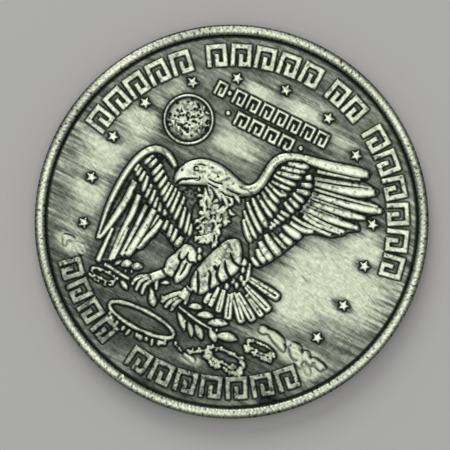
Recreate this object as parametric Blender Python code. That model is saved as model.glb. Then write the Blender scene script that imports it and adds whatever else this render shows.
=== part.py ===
"""A struck dollar-size coin: a copper core between two bonded cupronickel claddings.

The coin lies on its obverse. Z runs up through its thickness from the plane that it
rests on, +Y points to twelve o'clock on the reverse, and the origin is the middle of
its underside. Sizes are in metres. The two designs are drawn in units of one
millimetre on a field of DRAWING_RADIUS, and reduced to the coin's own field as a
reducing machine cuts a hub from a large model.
"""
import math

import bmesh
import bpy
from mathutils import Matrix, Vector

# --- the blank -------------------------------------------------------------------
COIN_DIAMETER = 0.0381
COIN_THICKNESS = 0.00258
CORE_THICKNESS = 0.00134
BOND_GAP = 0.00002          # the layers are bonded; the solids keep this hair of room
REED_COUNT = 198
REED_DEPTH = 0.00010

# --- the rim and the field -------------------------------------------------------
RIM_WIDTH = 0.00110         # from the edge to the foot of the rim
RIM_LAND = 0.00050          # the flat ring that the coin rests and stacks on
RIM_ROUND = 0.00022         # the chamfer outside the land, above the reeds
FIELD_DROP = 0.00029        # the field lies this far below the land
STACK_CLEARANCE = 0.00003   # the highest relief stays this far below the land
FIELD_SEGMENTS = 96

# --- the designs -----------------------------------------------------------------
DRAWING_RADIUS = 18.0
RELIEF_ROOT = 0.00008       # how deep each raised form is sunk into the field
DRAFT = 0.88                # a small form's top, as a share of its foot
LEGEND_RADIUS = 14.9
LEGEND_HEIGHT = 2.3
LEGEND_STROKE = 0.36
MOTTO_STROKE = 0.27
STAR_RADIUS = 0.55
WREATH_RADIUS = 11.5
WREATH_LEAVES = 10          # pairs on each of its two branches

CUPRONICKEL = (0.50, 0.52, 0.42)
COPPER = (0.55, 0.27, 0.16)

# Shares of the full relief: how high each kind of form stands above the field.
HIGH = 1.0
MIDDLE = 0.75
LOW = 0.5
FAINT = 0.3

coin_radius = COIN_DIAMETER / 2
field_radius = coin_radius - RIM_WIDTH
land_outer = coin_radius - REED_DEPTH - RIM_ROUND
land_inner = land_outer - RIM_LAND
relief_height = FIELD_DROP - STACK_CLEARANCE
drawing_scale = field_radius / DRAWING_RADIUS
core_bottom = (COIN_THICKNESS - CORE_THICKNESS) / 2
core_top = core_bottom + CORE_THICKNESS


# --- outlines in drawing units -----------------------------------------------------

def ribbon(path, width, end_width=None):
    """The outline of a strap of the given width along a path, square at both ends."""
    end_width = width if end_width is None else end_width
    points = [Vector(p) for p in path]
    left, right = [], []
    for i, point in enumerate(points):
        before = points[max(i - 1, 0)]
        after = points[min(i + 1, len(points) - 1)]
        arrive = (point - before).normalized() if i else (after - point).normalized()
        leave = (after - point).normalized() if point != after else arrive
        along = (arrive + leave).normalized()
        across = Vector((-along.y, along.x))
        miter = 1 / max(along.dot(leave), 0.5)
        half = (width + (end_width - width) * i / (len(points) - 1)) / 2
        left.append(point + across * half * miter)
        right.append(point - across * half * miter)
    return right + left[::-1]


def blade(root, tip, width):
    """A feather or a leaf: narrow at its root, full past its middle, pointed at its tip."""
    root, tip = Vector(root), Vector(tip)
    along = tip - root
    across = Vector((-along.y, along.x)).normalized() * width / 2
    belly = root + along * 0.7
    return [root - across * 0.6, belly - across, tip, belly + across, root + across * 0.6]


def along_path(path, share):
    """The point at a share of a polyline, counted evenly by its corners."""
    place = share * (len(path) - 1)
    first = min(int(place), len(path) - 2)
    return Vector(path[first]).lerp(Vector(path[first + 1]), place - first)


def fan(roots, tips, count, width, end_width=None):
    """A row of feathers whose roots and tips lie on two lines."""
    end_width = width if end_width is None else end_width
    shares = [i / (count - 1) for i in range(count)]
    return [blade(along_path(roots, s), along_path(tips, s), width + (end_width - width) * s)
            for s in shares]


def star(center, radius, inner_share=0.42):
    """A five-pointed star, one point up."""
    outline = []
    for i in range(10):
        reach = radius if i % 2 == 0 else radius * inner_share
        angle = math.radians(90 + 36 * i)
        outline.append(Vector(center) + Vector((math.cos(angle), math.sin(angle))) * reach)
    return outline


def disc(center, radius, sides=20):
    steps = [2 * math.pi * i / sides for i in range(sides)]
    return [Vector(center) + Vector((math.cos(a), math.sin(a))) * radius for a in steps]


def ring(center, half_width, half_height, stroke, sides=10):
    """An oval crater wall, as two half ribbons that run a little past each other."""
    halves = []
    for start in (0, math.pi):
        path = []
        for i in range(sides + 1):
            angle = start - 0.06 + (math.pi + 0.12) * i / sides
            path.append((center[0] + half_width * math.cos(angle),
                         center[1] + half_height * math.sin(angle)))
        halves.append(ribbon(path, stroke))
    return halves


def key(width, height, stroke):
    """One unit of a fret border: a square hook that turns in on itself."""
    near = stroke / 2
    far_x, far_y = width - near, height - near
    path = [(near, 0), (near, far_y), (far_x, far_y), (far_x, near + 0.1 * height),
            (width * 0.5, near + 0.1 * height), (width * 0.5, height * 0.6)]
    return ribbon(path, stroke)


def fret_row(left, right, count, bottom, height, stroke):
    """A straight run of fret units."""
    pitch = (right - left) / count
    width = pitch - stroke
    place = Vector((left + stroke / 2, bottom))
    return [[p + place + Vector((pitch * i, 0)) for p in key(width, height, stroke)]
            for i in range(count)]


def fret_arc(start, end, count, radius, height, stroke, outwards=True):
    """A run of fret units round the legend band, from one angle to another, in degrees."""
    pitch = (end - start) / count
    width = math.radians(abs(pitch)) * (radius + height / 2) - stroke
    units = []
    for i in range(count):
        angle = math.radians(start + pitch * (i + 0.5))
        turn = Matrix.Rotation(angle - math.pi / 2 if outwards else angle + math.pi / 2, 2)
        base = radius if outwards else -(radius + height)
        place = Vector((-width / 2, base))
        units.append([turn @ (p + place) for p in key(width, height, stroke)])
    return units


# --- the reverse: an eagle over cratered ground --------------------------------------

STARS = [(-12.6, 6.5), (-9.4, 10.3), (-5.7, 12.6), (-1.0, 13.7), (3.9, 13.1), (7.9, 11.1),
         (12.3, 5.85), (13.4, 1.9), (13.3, -2.4), (12.45, -6.3), (-13.9, 2.2), (-14.0, -2.25),
         (-12.7, -6.5)]
GLOBE_CENTER, GLOBE_RADIUS = (-8.15, 6.95), 2.38

BODY = [(-6.6, 0.85), (-6.2, 1.1), (-5.2, 1.6), (-4.2, 1.4), (-4.0, 0.5), (-3.6, -2.2),
        (-3.0, -3.2), (-1.9, -3.7), (-0.6, -2.6), (0.4, -1.6), (0.4, -0.4), (0.9, 1.0),
        (1.0, 3.4), (0.0, 3.85), (-1.0, 3.9), (-2.5, 4.3), (-4.0, 4.5), (-5.0, 4.3),
        (-6.0, 3.8), (-6.6, 3.0), (-6.95, 2.0)]
RIGHT_WING = [(0.4, 2.2), (3.0, -0.9), (3.6, -0.2), (4.6, 1.6), (5.4, 2.6), (6.4, 4.3),
              (6.2, 8.7), (4.4, 8.9), (2.2, 8.3), (1.2, 7.2), (0.95, 4.5)]
RIGHT_ARM = [(-0.4, 3.2), (0.5, 3.6), (1.0, 4.8), (1.2, 7.1), (2.2, 8.1), (3.8, 8.6)]
RIGHT_PRIMARIES = [((3.2, 8.45), (10.0, 10.05), 0.95), ((5.2, 7.2), (11.4, 8.9), 1.15),
                   ((5.4, 6.1), (12.8, 7.5), 1.05), ((5.6, 5.3), (11.5, 6.1), 0.7),
                   ((5.6, 4.5), (11.4, 4.9), 0.75), ((5.2, 3.8), (10.3, 3.95), 0.7),
                   ((4.9, 2.9), (7.6, 2.75), 0.6)]
LEFT_WING = [(-7.2, 2.5), (-9.1, 3.3), (-10.6, 2.2), (-11.4, 0.2), (-11.0, -2.0),
             (-9.0, -3.0), (-5.9, -3.9), (-3.9, -4.8), (-3.0, -3.2), (-3.8, 0.3), (-6.0, 0.9)]
LEFT_ARM = [(-7.3, 2.3), (-8.2, 2.9), (-9.1, 3.15), (-10.1, 2.6), (-10.9, 1.4), (-11.35, -1.0),
            (-11.2, -4.0), (-10.8, -7.5)]
LEFT_PRIMARIES = [((-10.2, -1.0), (-10.55, -7.0), 0.5), ((-9.85, -5.0), (-9.75, -9.4), 0.4),
                  ((-9.0, -2.2), (-9.1, -8.4), 0.75), ((-8.05, -2.4), (-8.05, -7.9), 0.6),
                  ((-7.2, -2.4), (-7.55, -7.8), 0.8), ((-6.2, -3.0), (-6.85, -6.7), 0.6)]
RIGHT_THIGH = [(1.0, -1.15), (0.1, -2.0), (-0.5, -3.0), (-0.9, -5.5), (-1.0, -6.5),
               (-0.5, -7.9), (0.3, -7.9), (1.1, -7.0), (1.9, -5.6), (2.6, -3.8), (2.5, -2.8),
               (1.7, -1.6)]
LEFT_THIGH = [(-2.6, -3.9), (-3.6, -4.6), (-3.9, -6.6), (-3.2, -7.4), (-1.9, -7.2),
              (-1.8, -5.2)]
LEGS = [([(-3.4, -7.0), (-4.8, -8.5)], 0.75), ([(-4.8, -8.3), (-5.7, -8.9), (-5.9, -9.6)], 0.42),
        ([(-4.8, -8.4), (-5.3, -9.2), (-5.4, -10.1)], 0.42),
        ([(-4.6, -8.4), (-4.8, -9.3), (-4.6, -10.1)], 0.4), ([(-4.2, -8.0), (-3.6, -9.2)], 0.36),
        ([(-0.8, -7.6), (-1.0, -8.9)], 0.8), ([(-1.1, -8.5), (-2.0, -9.4), (-2.2, -10.3)], 0.42),
        ([(-1.0, -8.7), (-1.5, -9.6), (-1.4, -10.3)], 0.42), ([(-0.7, -8.2), (-0.5, -9.2)], 0.36)]
STEMS = [([(-9.1, -9.3), (-6.3, -9.4)], 0.3), ([(-0.9, -9.6), (3.0, -10.15)], 0.28)]
LEAVES = [((-7.5, -8.5), (-6.8, -7.95), 0.5), ((-6.5, -8.25), (-5.7, -7.75), 0.5),
          ((-7.0, -9.9), (-6.1, -10.4), 0.36), ((-3.9, -9.8), (-3.1, -10.7), 0.6),
          ((0.0, -9.15), (1.1, -8.75), 0.42), ((1.2, -9.55), (2.4, -9.15), 0.5),
          ((2.5, -9.75), (4.0, -9.05), 0.6), ((3.8, -10.4), (5.6, -10.1), 0.7),
          ((2.9, -10.3), (3.8, -11.1), 0.55), ((-0.6, -10.2), (0.6, -11.5), 0.42),
          ((0.6, -10.6), (1.5, -11.7), 0.42), ((1.4, -10.6), (2.5, -11.5), 0.5)]
CRATERS = [((-3.5, -12.4), 3.4, 0.85, 0.3), ((-8.7, -10.0), 1.3, 0.35, 0.24),
           ((5.3, -12.0), 2.1, 0.7, 0.34), ((7.9, -9.45), 1.3, 0.38, 0.26)]
ROCKS = [[(6.9, -8.4), (7.0, -7.8), (8.2, -7.6), (9.6, -7.9), (10.3, -7.6), (11.2, -7.9),
          (12.0, -8.4), (13.0, -8.0), (14.4, -8.3), (14.1, -9.3), (12.6, -9.2), (10.6, -8.8),
          (9.0, -8.6)],
         [(-13.3, -8.5), (-12.3, -8.3), (-11.6, -8.6), (-11.7, -9.3), (-13.0, -9.5)]]


def reverse_forms():
    """Every raised form of the reverse: its outline, its height and whether it tapers."""
    forms = []

    def add(outlines, height, tapered=True):
        forms.extend((outline, height, tapered) for outline in outlines)

    for start, end, count in [(173, 130, 6), (126, 84, 6), (81, 65, 2), (61, 6.5, 7)]:
        add(fret_arc(start, end, count, LEGEND_RADIUS, LEGEND_HEIGHT, LEGEND_STROKE), LOW, False)
    for start, end, count in [(219, 251, 3), (258.5, 320.5, 6)]:
        add(fret_arc(start, end, count, LEGEND_RADIUS, LEGEND_HEIGHT, LEGEND_STROKE, False),
            LOW, False)
    add(fret_row(-7.3, -6.0, 1, 10.25, 1.5, MOTTO_STROKE), LOW, False)
    add(fret_row(-5.4, 4.9, 8, 10.25, 1.5, MOTTO_STROKE), LOW, False)
    add(fret_row(-4.3, 2.1, 4, 8.45, 1.4, MOTTO_STROKE), LOW, False)
    add([disc(center, 0.17, 8) for center in [(-5.75, 11.0), (-5.0, 9.2), (2.8, 9.3)]], FAINT)
    add([star(center, STAR_RADIUS) for center in STARS], LOW)
    add([disc(GLOBE_CENTER, GLOBE_RADIUS)], LOW)

    add([LEFT_WING, RIGHT_WING], FAINT, False)
    add([BODY], HIGH, False)
    add([RIGHT_THIGH, LEFT_THIGH], MIDDLE, False)
    add([ribbon(RIGHT_ARM, 0.85, 0.65), ribbon(LEFT_ARM, 0.6, 0.35)], MIDDLE, False)
    add([blade(*feather) for feather in RIGHT_PRIMARIES + LEFT_PRIMARIES], LOW)
    add(fan([(2.2, 7.2), (1.5, 5.0), (0.5, 2.2), (0.5, 1.2)],
            [(4.4, 7.9), (3.8, 5.2), (3.1, 1.2), (2.6, -0.8)], 11, 0.5, 0.6), LOW)
    add(fan([(4.5, 1.9), (3.6, 0.2), (3.2, -1.8)],
            [(6.6, 1.7), (5.7, -0.7), (4.3, -2.5)], 6, 0.7), LOW)
    add(fan([(-9.6, 2.2), (-7.0, 0.7), (-3.8, -1.4)],
            [(-10.0, 1.0), (-7.0, -1.2), (-3.2, -3.1)], 11, 0.4), LOW)
    add(fan([(4.1, -4.2), (3.6, -6.0), (1.3, -6.6)],
            [(7.4, -4.7), (6.0, -7.8), (1.2, -8.5)], 8, 0.8), LOW)
    for path, width in LEGS:
        add([ribbon(path, width, width * 0.7)], LOW, False)

    for path, width in STEMS:
        add([ribbon(path, width)], FAINT, False)
    add([blade(*leaf) for leaf in LEAVES], LOW)
    for center, half_width, half_height, stroke in CRATERS:
        add(ring(center, half_width, half_height, stroke), FAINT, False)
    add(ROCKS, FAINT, False)
    return forms


# --- the obverse: a star in a wreath ---------------------------------------------------

def obverse_forms():
    """Every raised form of the obverse: a plain star in a laurel wreath of two branches."""
    forms = [(star((0, 0), 5.2), HIGH, True)]
    for side in (-1, 1):
        stem = []
        for i in range(11):
            angle = math.radians(-90 + side * (4 + 150 * i / 10))
            stem.append(Vector((math.cos(angle), math.sin(angle))) * WREATH_RADIUS)
        forms.append((ribbon(stem, 0.34), FAINT, False))
        for i in range(WREATH_LEAVES):
            angle = -90 + side * (12 + 142 * i / (WREATH_LEAVES - 1))
            for lean, reach in ((-1, 1.55), (1, 1.65)):
                foot = Matrix.Rotation(math.radians(angle), 2) @ Vector((WREATH_RADIUS, 0))
                tip_angle = math.radians(angle + side * 8.5)
                tip = Vector((math.cos(tip_angle), math.sin(tip_angle)))
                forms.append((blade(foot, tip * (WREATH_RADIUS + lean * reach), 0.95), LOW, True))
    return forms


# --- solids --------------------------------------------------------------------------

def new_object(name, bm):
    mesh = bpy.data.meshes.new(name)
    bm.to_mesh(mesh)
    bm.free()
    mesh.shade_smooth()
    mesh.set_sharp_from_angle(angle=math.radians(30))
    thing = bpy.data.objects.new(name, mesh)
    bpy.context.scene.collection.objects.link(thing)
    return thing


def finish_metal(thing, name, color, roughness):
    material = bpy.data.materials.new(name)
    material.use_nodes = True
    shader = material.node_tree.nodes["Principled BSDF"]
    shader.inputs["Base Color"].default_value = (*color, 1)
    shader.inputs["Metallic"].default_value = 1.0
    shader.inputs["Roughness"].default_value = roughness
    thing.data.materials.append(material)


def reeded_disc(bm, bottom, top):
    """A disc with one ridge and one groove for each reed. Returns its top face."""
    made = bmesh.ops.create_circle(bm, cap_ends=True, radius=coin_radius,
                                   segments=2 * REED_COUNT)
    for vert in made["verts"]:
        angle = math.atan2(vert.co.y, vert.co.x)
        if round(angle * REED_COUNT / math.pi) % 2:
            vert.co *= (coin_radius - REED_DEPTH) / coin_radius
        vert.co.z = bottom
    base = bm.faces[:][0]
    if base.normal.z > 0:
        base.normal_flip()
    lid = bmesh.ops.extrude_face_region(bm, geom=[base], use_keep_orig=True)
    raised = [g for g in lid["geom"] if isinstance(g, bmesh.types.BMVert)]
    bmesh.ops.translate(bm, verts=raised, vec=(0, 0, top - bottom))
    bmesh.ops.recalc_face_normals(bm, faces=bm.faces[:])
    return next(f for f in bm.faces if f.normal.z > 0.9)


def raised_forms(name, forms, face_z):
    """All the forms of one side as closed drafted prisms that start inside the field."""
    bm = bmesh.new()
    foot_z = face_z - RELIEF_ROOT
    for outline, height, tapered in forms:
        corners = [bm.verts.new((p[0] * drawing_scale, p[1] * drawing_scale, foot_z))
                   for p in outline]
        face = bm.faces.new(corners)
        lid = bmesh.ops.extrude_face_region(bm, geom=[face], use_keep_orig=True)
        raised = [g for g in lid["geom"] if isinstance(g, bmesh.types.BMVert)]
        rise = RELIEF_ROOT + height * relief_height
        bmesh.ops.translate(bm, verts=raised, vec=(0, 0, rise))
        if tapered:
            middle = sum((v.co for v in raised), Vector()) / len(raised)
            bmesh.ops.scale(bm, verts=raised, vec=(DRAFT, DRAFT, 1),
                            space=Matrix.Translation(-middle))
    bmesh.ops.recalc_face_normals(bm, faces=bm.faces[:])
    return new_object(name, bm)


def cut_with(body, tool, operation):
    """Adds or takes away a tool's shape, which then moves with the body."""
    tool.hide_render = True
    tool.display_type = "WIRE"
    tool.parent = body
    step = body.modifiers.new(tool.name, "BOOLEAN")
    step.operation = operation
    step.solver = "EXACT"
    step.object = tool
    return step


def cladding(name, forms):
    """One face of the coin, made face up: reeded edge, rim, sunk field and relief."""
    top = COIN_THICKNESS
    bm = bmesh.new()
    lid = reeded_disc(bm, core_top + BOND_GAP, top - RIM_ROUND)
    chamfer = bmesh.ops.extrude_face_region(bm, geom=[lid])
    raised = [g for g in chamfer["geom"] if isinstance(g, bmesh.types.BMVert)]
    bmesh.ops.delete(bm, geom=[lid], context="FACES_ONLY")
    for vert in raised:
        vert.co.xy = vert.co.xy.normalized() * land_outer
        vert.co.z = top
    body = new_object(name, bm)

    field_z = top - FIELD_DROP
    overshoot = FIELD_DROP
    depth = FIELD_DROP + overshoot
    slope = (land_inner - field_radius) / FIELD_DROP
    pocket_mesh = bmesh.new()
    bmesh.ops.create_cone(pocket_mesh, cap_ends=True, segments=FIELD_SEGMENTS,
                          radius1=field_radius, radius2=field_radius + slope * depth,
                          depth=depth, matrix=Matrix.Translation((0, 0, field_z + depth / 2)))
    cut_with(body, new_object(name + "_pocket", pocket_mesh), "DIFFERENCE")
    join = cut_with(body, raised_forms(name + "_forms", forms, field_z), "UNION")
    join.use_self = True
    return body


# --- the coin --------------------------------------------------------------------------

def build():
    for thing in bpy.data.objects[:]:
        bpy.data.objects.remove(thing, do_unlink=True)

    reverse = cladding("reverse_cladding", reverse_forms())
    finish_metal(reverse, "antiqued_cupronickel", CUPRONICKEL, 0.42)

    obverse = cladding("obverse_cladding", obverse_forms())
    obverse.rotation_euler = (math.pi, 0, 0)
    obverse.location.z = COIN_THICKNESS
    finish_metal(obverse, "antiqued_cupronickel_obverse", CUPRONICKEL, 0.42)

    bm = bmesh.new()
    reeded_disc(bm, core_bottom, core_top)
    core = new_object("copper_core", bm)
    finish_metal(core, "copper", COPPER, 0.5)


build()
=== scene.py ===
# %% [markdown]
# # A struck clad coin with an antiqued finish
# The real coin is punched from a strip of copper with a skin of cupronickel bonded to each
# face, and struck once between two dies inside a reeded collar. Everything that stands up
# from the field is the same metal as the field. This lesson follows the mint: first a large
# plaster model is built from strokes and blocks, then a fine sheet is pressed onto it, then
# the sheet is reduced to the coin's size, and last the metal is darkened and wiped.

# %% Load the fixed frame
import math
import random

import bpy
import numpy as np
from mathutils import Matrix, Vector


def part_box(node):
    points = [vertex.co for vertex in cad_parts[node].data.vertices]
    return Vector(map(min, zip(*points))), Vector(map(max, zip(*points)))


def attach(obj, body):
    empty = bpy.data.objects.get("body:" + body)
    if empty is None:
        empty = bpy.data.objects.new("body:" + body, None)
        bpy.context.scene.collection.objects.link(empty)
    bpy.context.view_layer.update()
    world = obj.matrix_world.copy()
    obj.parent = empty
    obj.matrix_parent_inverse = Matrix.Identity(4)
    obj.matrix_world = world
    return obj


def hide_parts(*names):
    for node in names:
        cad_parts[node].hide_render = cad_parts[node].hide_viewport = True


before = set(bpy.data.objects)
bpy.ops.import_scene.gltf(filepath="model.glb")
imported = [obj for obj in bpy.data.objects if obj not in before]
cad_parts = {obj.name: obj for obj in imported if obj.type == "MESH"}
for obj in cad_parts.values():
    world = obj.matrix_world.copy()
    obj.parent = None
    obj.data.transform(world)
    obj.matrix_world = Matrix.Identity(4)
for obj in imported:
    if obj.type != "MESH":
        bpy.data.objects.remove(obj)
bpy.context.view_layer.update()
print("nodes:", sorted(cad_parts))

# %% [markdown]
# The frame gives the outer sizes. Plaster units are millimetres on the coin, so a stroke 0.4
# wide in the plaster is 0.4 mm wide in the metal. Modelling a thousand times larger also
# keeps every operator well away from its rounding limits.

# %% Sizes
MM = 0.001
cladding_low, cladding_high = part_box("reverse_cladding")
core_low, core_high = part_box("copper_core")
COIN_RADIUS = cladding_high[0] / MM
COIN_THICKNESS = cladding_high[2] / MM
BOND_HIGH = cladding_low[2] / MM
CORE_LOW, CORE_HIGH = core_low[2] / MM, core_high[2] / MM
FIELD_RADIUS = 17.95
FIELD_DROP = 0.29
FIELD_HEIGHT = COIN_THICKNESS - FIELD_DROP
REED_COUNT = 198
REED_DEPTH = 0.10
PITCH = 0.055       # between two points of the pressed sheet
print(f"coin {2 * COIN_RADIUS:.2f} x {COIN_THICKNESS:.2f}, field at {FIELD_HEIGHT:.2f}")

# %% [markdown]
# ## Small helpers
# An operator acts on whatever is selected, so every step begins by clearing the selection.

# %% Selecting and joining
def select_only(*things):
    bpy.ops.object.select_all(action="DESELECT")
    for thing in things:
        thing.select_set(True)
    bpy.context.view_layer.objects.active = things[-1]


def as_mesh(thing):
    select_only(thing)
    bpy.ops.object.convert(target="MESH")
    return bpy.context.object


def joined(things, name):
    select_only(*things)
    if len(things) > 1:
        bpy.ops.object.join()
    bpy.context.object.name = name
    return bpy.context.object


def read_points(mesh):
    flat = np.empty(len(mesh.vertices) * 3, dtype=np.float32)
    mesh.vertices.foreach_get("co", flat)
    return flat.reshape(-1, 3)


def write_points(mesh, points):
    mesh.vertices.foreach_set("co", points.astype(np.float32).ravel())
    mesh.update()

# %% [markdown]
# ## Strokes
# Feathers, leaves, stems and toes are all laid down as an engraver lays strokes: a line with
# a width at each point. A curve with a round bevel and a radius at each point makes such a
# stroke in one go. It is then flattened, because relief on a coin is very low. A profile says
# how full a stroke is along its length, as pairs: a share of the length, a share of the width.

# %% Strokes from curves
FEATHER = ((0.0, 0.45), (0.25, 0.75), (0.55, 1.0), (0.75, 0.98), (0.88, 0.8), (0.96, 0.45), (1.0, 0.05))
LEAF = ((0.0, 0.15), (0.2, 0.7), (0.5, 1.0), (0.78, 0.75), (1.0, 0.08))
QUILL = ((0.0, 0.5), (0.2, 0.9), (0.5, 1.0), (0.8, 0.9), (1.0, 0.25))
BALL = ((0.0, 0.1), (0.07, 0.5), (0.25, 0.87), (0.5, 1.0), (0.75, 0.87), (0.93, 0.5), (1.0, 0.1))


def tapered(root, tip, width, profile=FEATHER, bow=0.0):
    """A stroke from root to tip. bow is how far its middle leans to the left, as a share."""
    root, tip = Vector(root), Vector(tip)
    along = tip - root
    side = Vector((-along.y, along.x)) * bow
    points = [root + along * share + side * 4 * share * (1 - share) for share, _ in profile]
    return points, [width * size for _, size in profile]


def pebble(place, size, length=1.0, turn=0.0):
    """A round lump, or a long one when length is above 1, turned by an angle in radians."""
    half = Vector((math.cos(turn), math.sin(turn))) * size * length / 2
    return tapered(Vector(place) - half, Vector(place) + half, size, BALL)


def drawn(points, *widths):
    """A stroke through given points; its width runs evenly from the first to the last."""
    if len(widths) == 1:
        widths = widths * 2
    stops = np.linspace(0, 1, len(widths))
    shares = np.linspace(0, 1, len(points))
    return [Vector(p) for p in points], list(np.interp(shares, stops, widths))


SHOULDER = 0.05        # how far a stroke's rounded side goes out past its stated half width
BEVEL_STEPS = 4


def strokes(lines, base, flatten, steps=6):
    """Round-backed strokes, flattened, lying on the height base."""
    bpy.ops.curve.primitive_nurbs_path_add()
    thing = bpy.context.object
    curve = thing.data
    curve.splines.clear()
    for points, widths in lines:
        line = curve.splines.new("NURBS")
        line.points.add(len(points) - 1)
        for knot, point, width in zip(line.points, points, widths):
            knot.co = (*point, 0, 1)
            knot.radius = width / 2 + SHOULDER
        line.order_u = 3
        line.use_endpoint_u = True
        line.resolution_u = steps
    curve.bevel_depth = 1
    curve.bevel_resolution = BEVEL_STEPS
    curve.use_fill_caps = True
    solid = as_mesh(thing)
    solid.scale.z = flatten
    solid.location.z = base
    bpy.ops.object.transform_apply(location=True, rotation=False, scale=True)
    return solid

# %% [markdown]
# Flat-topped forms, such as the fret and the stars, start from an outline that is filled,
# given a thickness and a small round along its edge, as cast type is.

# %% Blocks from outlines
SHARPEST_MITRE = 0.5


def ribbon(path, width):
    """The outline of a strap of one width along a path, with mitred corners."""
    points = [Vector(p) for p in path]
    left, right = [], []
    for i, point in enumerate(points):
        arrive = (point - points[i - 1]).normalized() if i else None
        leave = (points[i + 1] - point).normalized() if i < len(points) - 1 else None
        arrive, leave = arrive or leave, leave or arrive
        along = (arrive + leave).normalized()
        across = Vector((-along.y, along.x)) * width / 2 / max(along.dot(leave), SHARPEST_MITRE)
        left.append(point + across)
        right.append(point - across)
    return right + left[::-1]


def blocks(outlines, height, edge):
    """Flat-topped blocks of the given outlines, with rounded top edges."""
    bpy.ops.curve.primitive_bezier_circle_add()
    thing = bpy.context.object
    curve = thing.data
    curve.splines.clear()
    for outline in outlines:
        line = curve.splines.new("POLY")
        line.points.add(len(outline) - 1)
        for knot, point in zip(line.points, outline):
            knot.co = (point[0], point[1], 0, 1)
        line.use_cyclic_u = True
    curve.dimensions = "2D"
    curve.fill_mode = "BOTH"
    curve.extrude = height
    curve.bevel_depth = edge
    curve.bevel_resolution = BEVEL_STEPS - 1
    curve.offset = -edge
    solid = as_mesh(thing)
    solid.location.z = -edge
    bpy.ops.object.transform_apply(location=True, rotation=False, scale=False)
    return solid


def rounded(outline, rounds=3):
    """A closed outline whose corners are cut again and again until it is round."""
    points = [Vector(p) for p in outline]
    for _ in range(rounds):
        points = [p.lerp(q, share) for p, q in zip(points, points[1:] + points[:1])
                  for share in (0.25, 0.75)]
    return points


def star_outline(center, radius, inner_share):
    """A five-pointed star, one point up."""
    outline = []
    for i in range(10):
        reach = radius if i % 2 == 0 else radius * inner_share
        angle = math.radians(90 + 36 * i)
        outline.append((center[0] + reach * math.cos(angle), center[1] + reach * math.sin(angle)))
    return outline

# %% [markdown]
# ## The border
# The real coin has lettering here. A fret keeps its band, its height, its stroke and the
# length of each run, and says nothing. One unit is a square hook that turns in on itself.

# %% The fret
LEGEND_LOW, LEGEND_HIGH = 14.95, 17.2
LEGEND_STROKE, LEGEND_GAP = 0.52, 0.28
MOTTO_STROKE, MOTTO_GAP = 0.31, 0.19
LETTER_RISE, LETTER_EDGE = 0.14, 0.06
MOTTO_SHARE = 0.85          # the motto stands this much lower than the legend
DOT_RADIUS = 0.24


def key(width, height, stroke):
    """One unit of the fret, with its lower left corner at the origin."""
    near = stroke / 2
    right, top, low, middle = width - near, height - near, near, width * 0.5
    return ribbon([(near, 0), (near, top), (right, top), (right, low), (middle, low),
                   (middle, height * 0.58)], stroke)


def fret_arc(start, end, count, outwards=True):
    """A run of units from one angle to another, with their tops outwards or inwards."""
    height = LEGEND_HIGH - LEGEND_LOW
    pitch = (end - start) / count
    width = math.radians(abs(pitch)) * (LEGEND_LOW + height / 2) - LEGEND_GAP
    units = []
    for i in range(count):
        angle = math.radians(start + pitch * (i + 0.5))
        turn = Matrix.Rotation(angle - math.pi / 2 if outwards else angle + math.pi / 2, 2)
        place = Vector((-width / 2, LEGEND_LOW if outwards else -LEGEND_HIGH))
        units.append([turn @ (p + place) for p in key(width, height, LEGEND_STROKE)])
    return units


def fret_row(left, right, count, bottom, top):
    """A straight run of units."""
    pitch = (right - left) / count
    place = Vector((left + MOTTO_GAP / 2, bottom))
    return [[p + place + Vector((pitch * i, 0)) for p in
             key(pitch - MOTTO_GAP, top - bottom, MOTTO_STROKE)] for i in range(count)]


legend = []
for start, end, count in [(173, 130, 5), (126, 84, 5), (81, 65, 2), (61, 6.5, 6)]:
    legend += fret_arc(start, end, count)
for start, end, count in [(219, 251, 4), (258.5, 320.5, 7)]:
    legend += fret_arc(start, end, count, outwards=False)
motto = fret_row(-7.3, -6.0, 1, 10.25, 11.75) + fret_row(-5.4, 4.9, 7, 10.25, 11.75)
motto += fret_row(-4.3, 2.1, 4, 8.45, 9.85)
dots = [[(x + DOT_RADIUS * math.cos(a), y + DOT_RADIUS * math.sin(a))
         for a in np.arange(0, 2 * math.pi, math.pi / 8)]
        for x, y in [(-5.72, 11.0), (-5.0, 9.2), (2.8, 9.32)]]
models = {
    "legend_fret": [blocks(legend, LETTER_RISE, LETTER_EDGE)],
    "motto_fret": [blocks(motto + dots, LETTER_RISE * MOTTO_SHARE, LETTER_EDGE * 0.75)],
}
print("fret units:", len(legend), "and", len(motto))

# %% [markdown]
# ## Stars and the globe
# Each star is a block with a broad soft edge. The globe is a low dome in a thin raised line,
# with lumps and pits scattered over it in clusters. They are placed by a seeded random draw,
# so the same ones come out every time. Pits are pressed like lumps and then taken away.

# %% Stars
STARS = [(-12.6, 6.5), (-9.4, 10.3), (-5.7, 12.6), (-1.0, 13.7), (3.9, 13.1), (7.9, 11.1),
         (12.3, 5.85), (13.4, 1.9), (13.3, -2.4), (12.45, -6.3), (-13.9, 2.2), (-14.0, -2.25),
         (-12.7, -6.5)]
STAR_RADIUS, STAR_WAIST, STAR_RISE, STAR_EDGE = 0.66, 0.48, 0.13, 0.09
models["stars"] = [blocks([star_outline(place, STAR_RADIUS, STAR_WAIST) for place in STARS],
                          STAR_RISE, STAR_EDGE)]
print("stars:", len(STARS))

# %% The globe
GLOBE_CENTER, GLOBE_RADIUS, GLOBE_RISE = Vector((-8.15, 6.95)), 2.34, 0.10
GLOBE_LINE = 0.15           # the width of the raised line round it


def around(center, half_width, half_height, count=48, start=0.0, turn=2 * math.pi):
    """Points on an oval, or on a part of one."""
    angles = [start + turn * i / count for i in range(count + 1)]
    return [(center[0] + half_width * math.cos(a), center[1] + half_height * math.sin(a))
            for a in angles]


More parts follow.
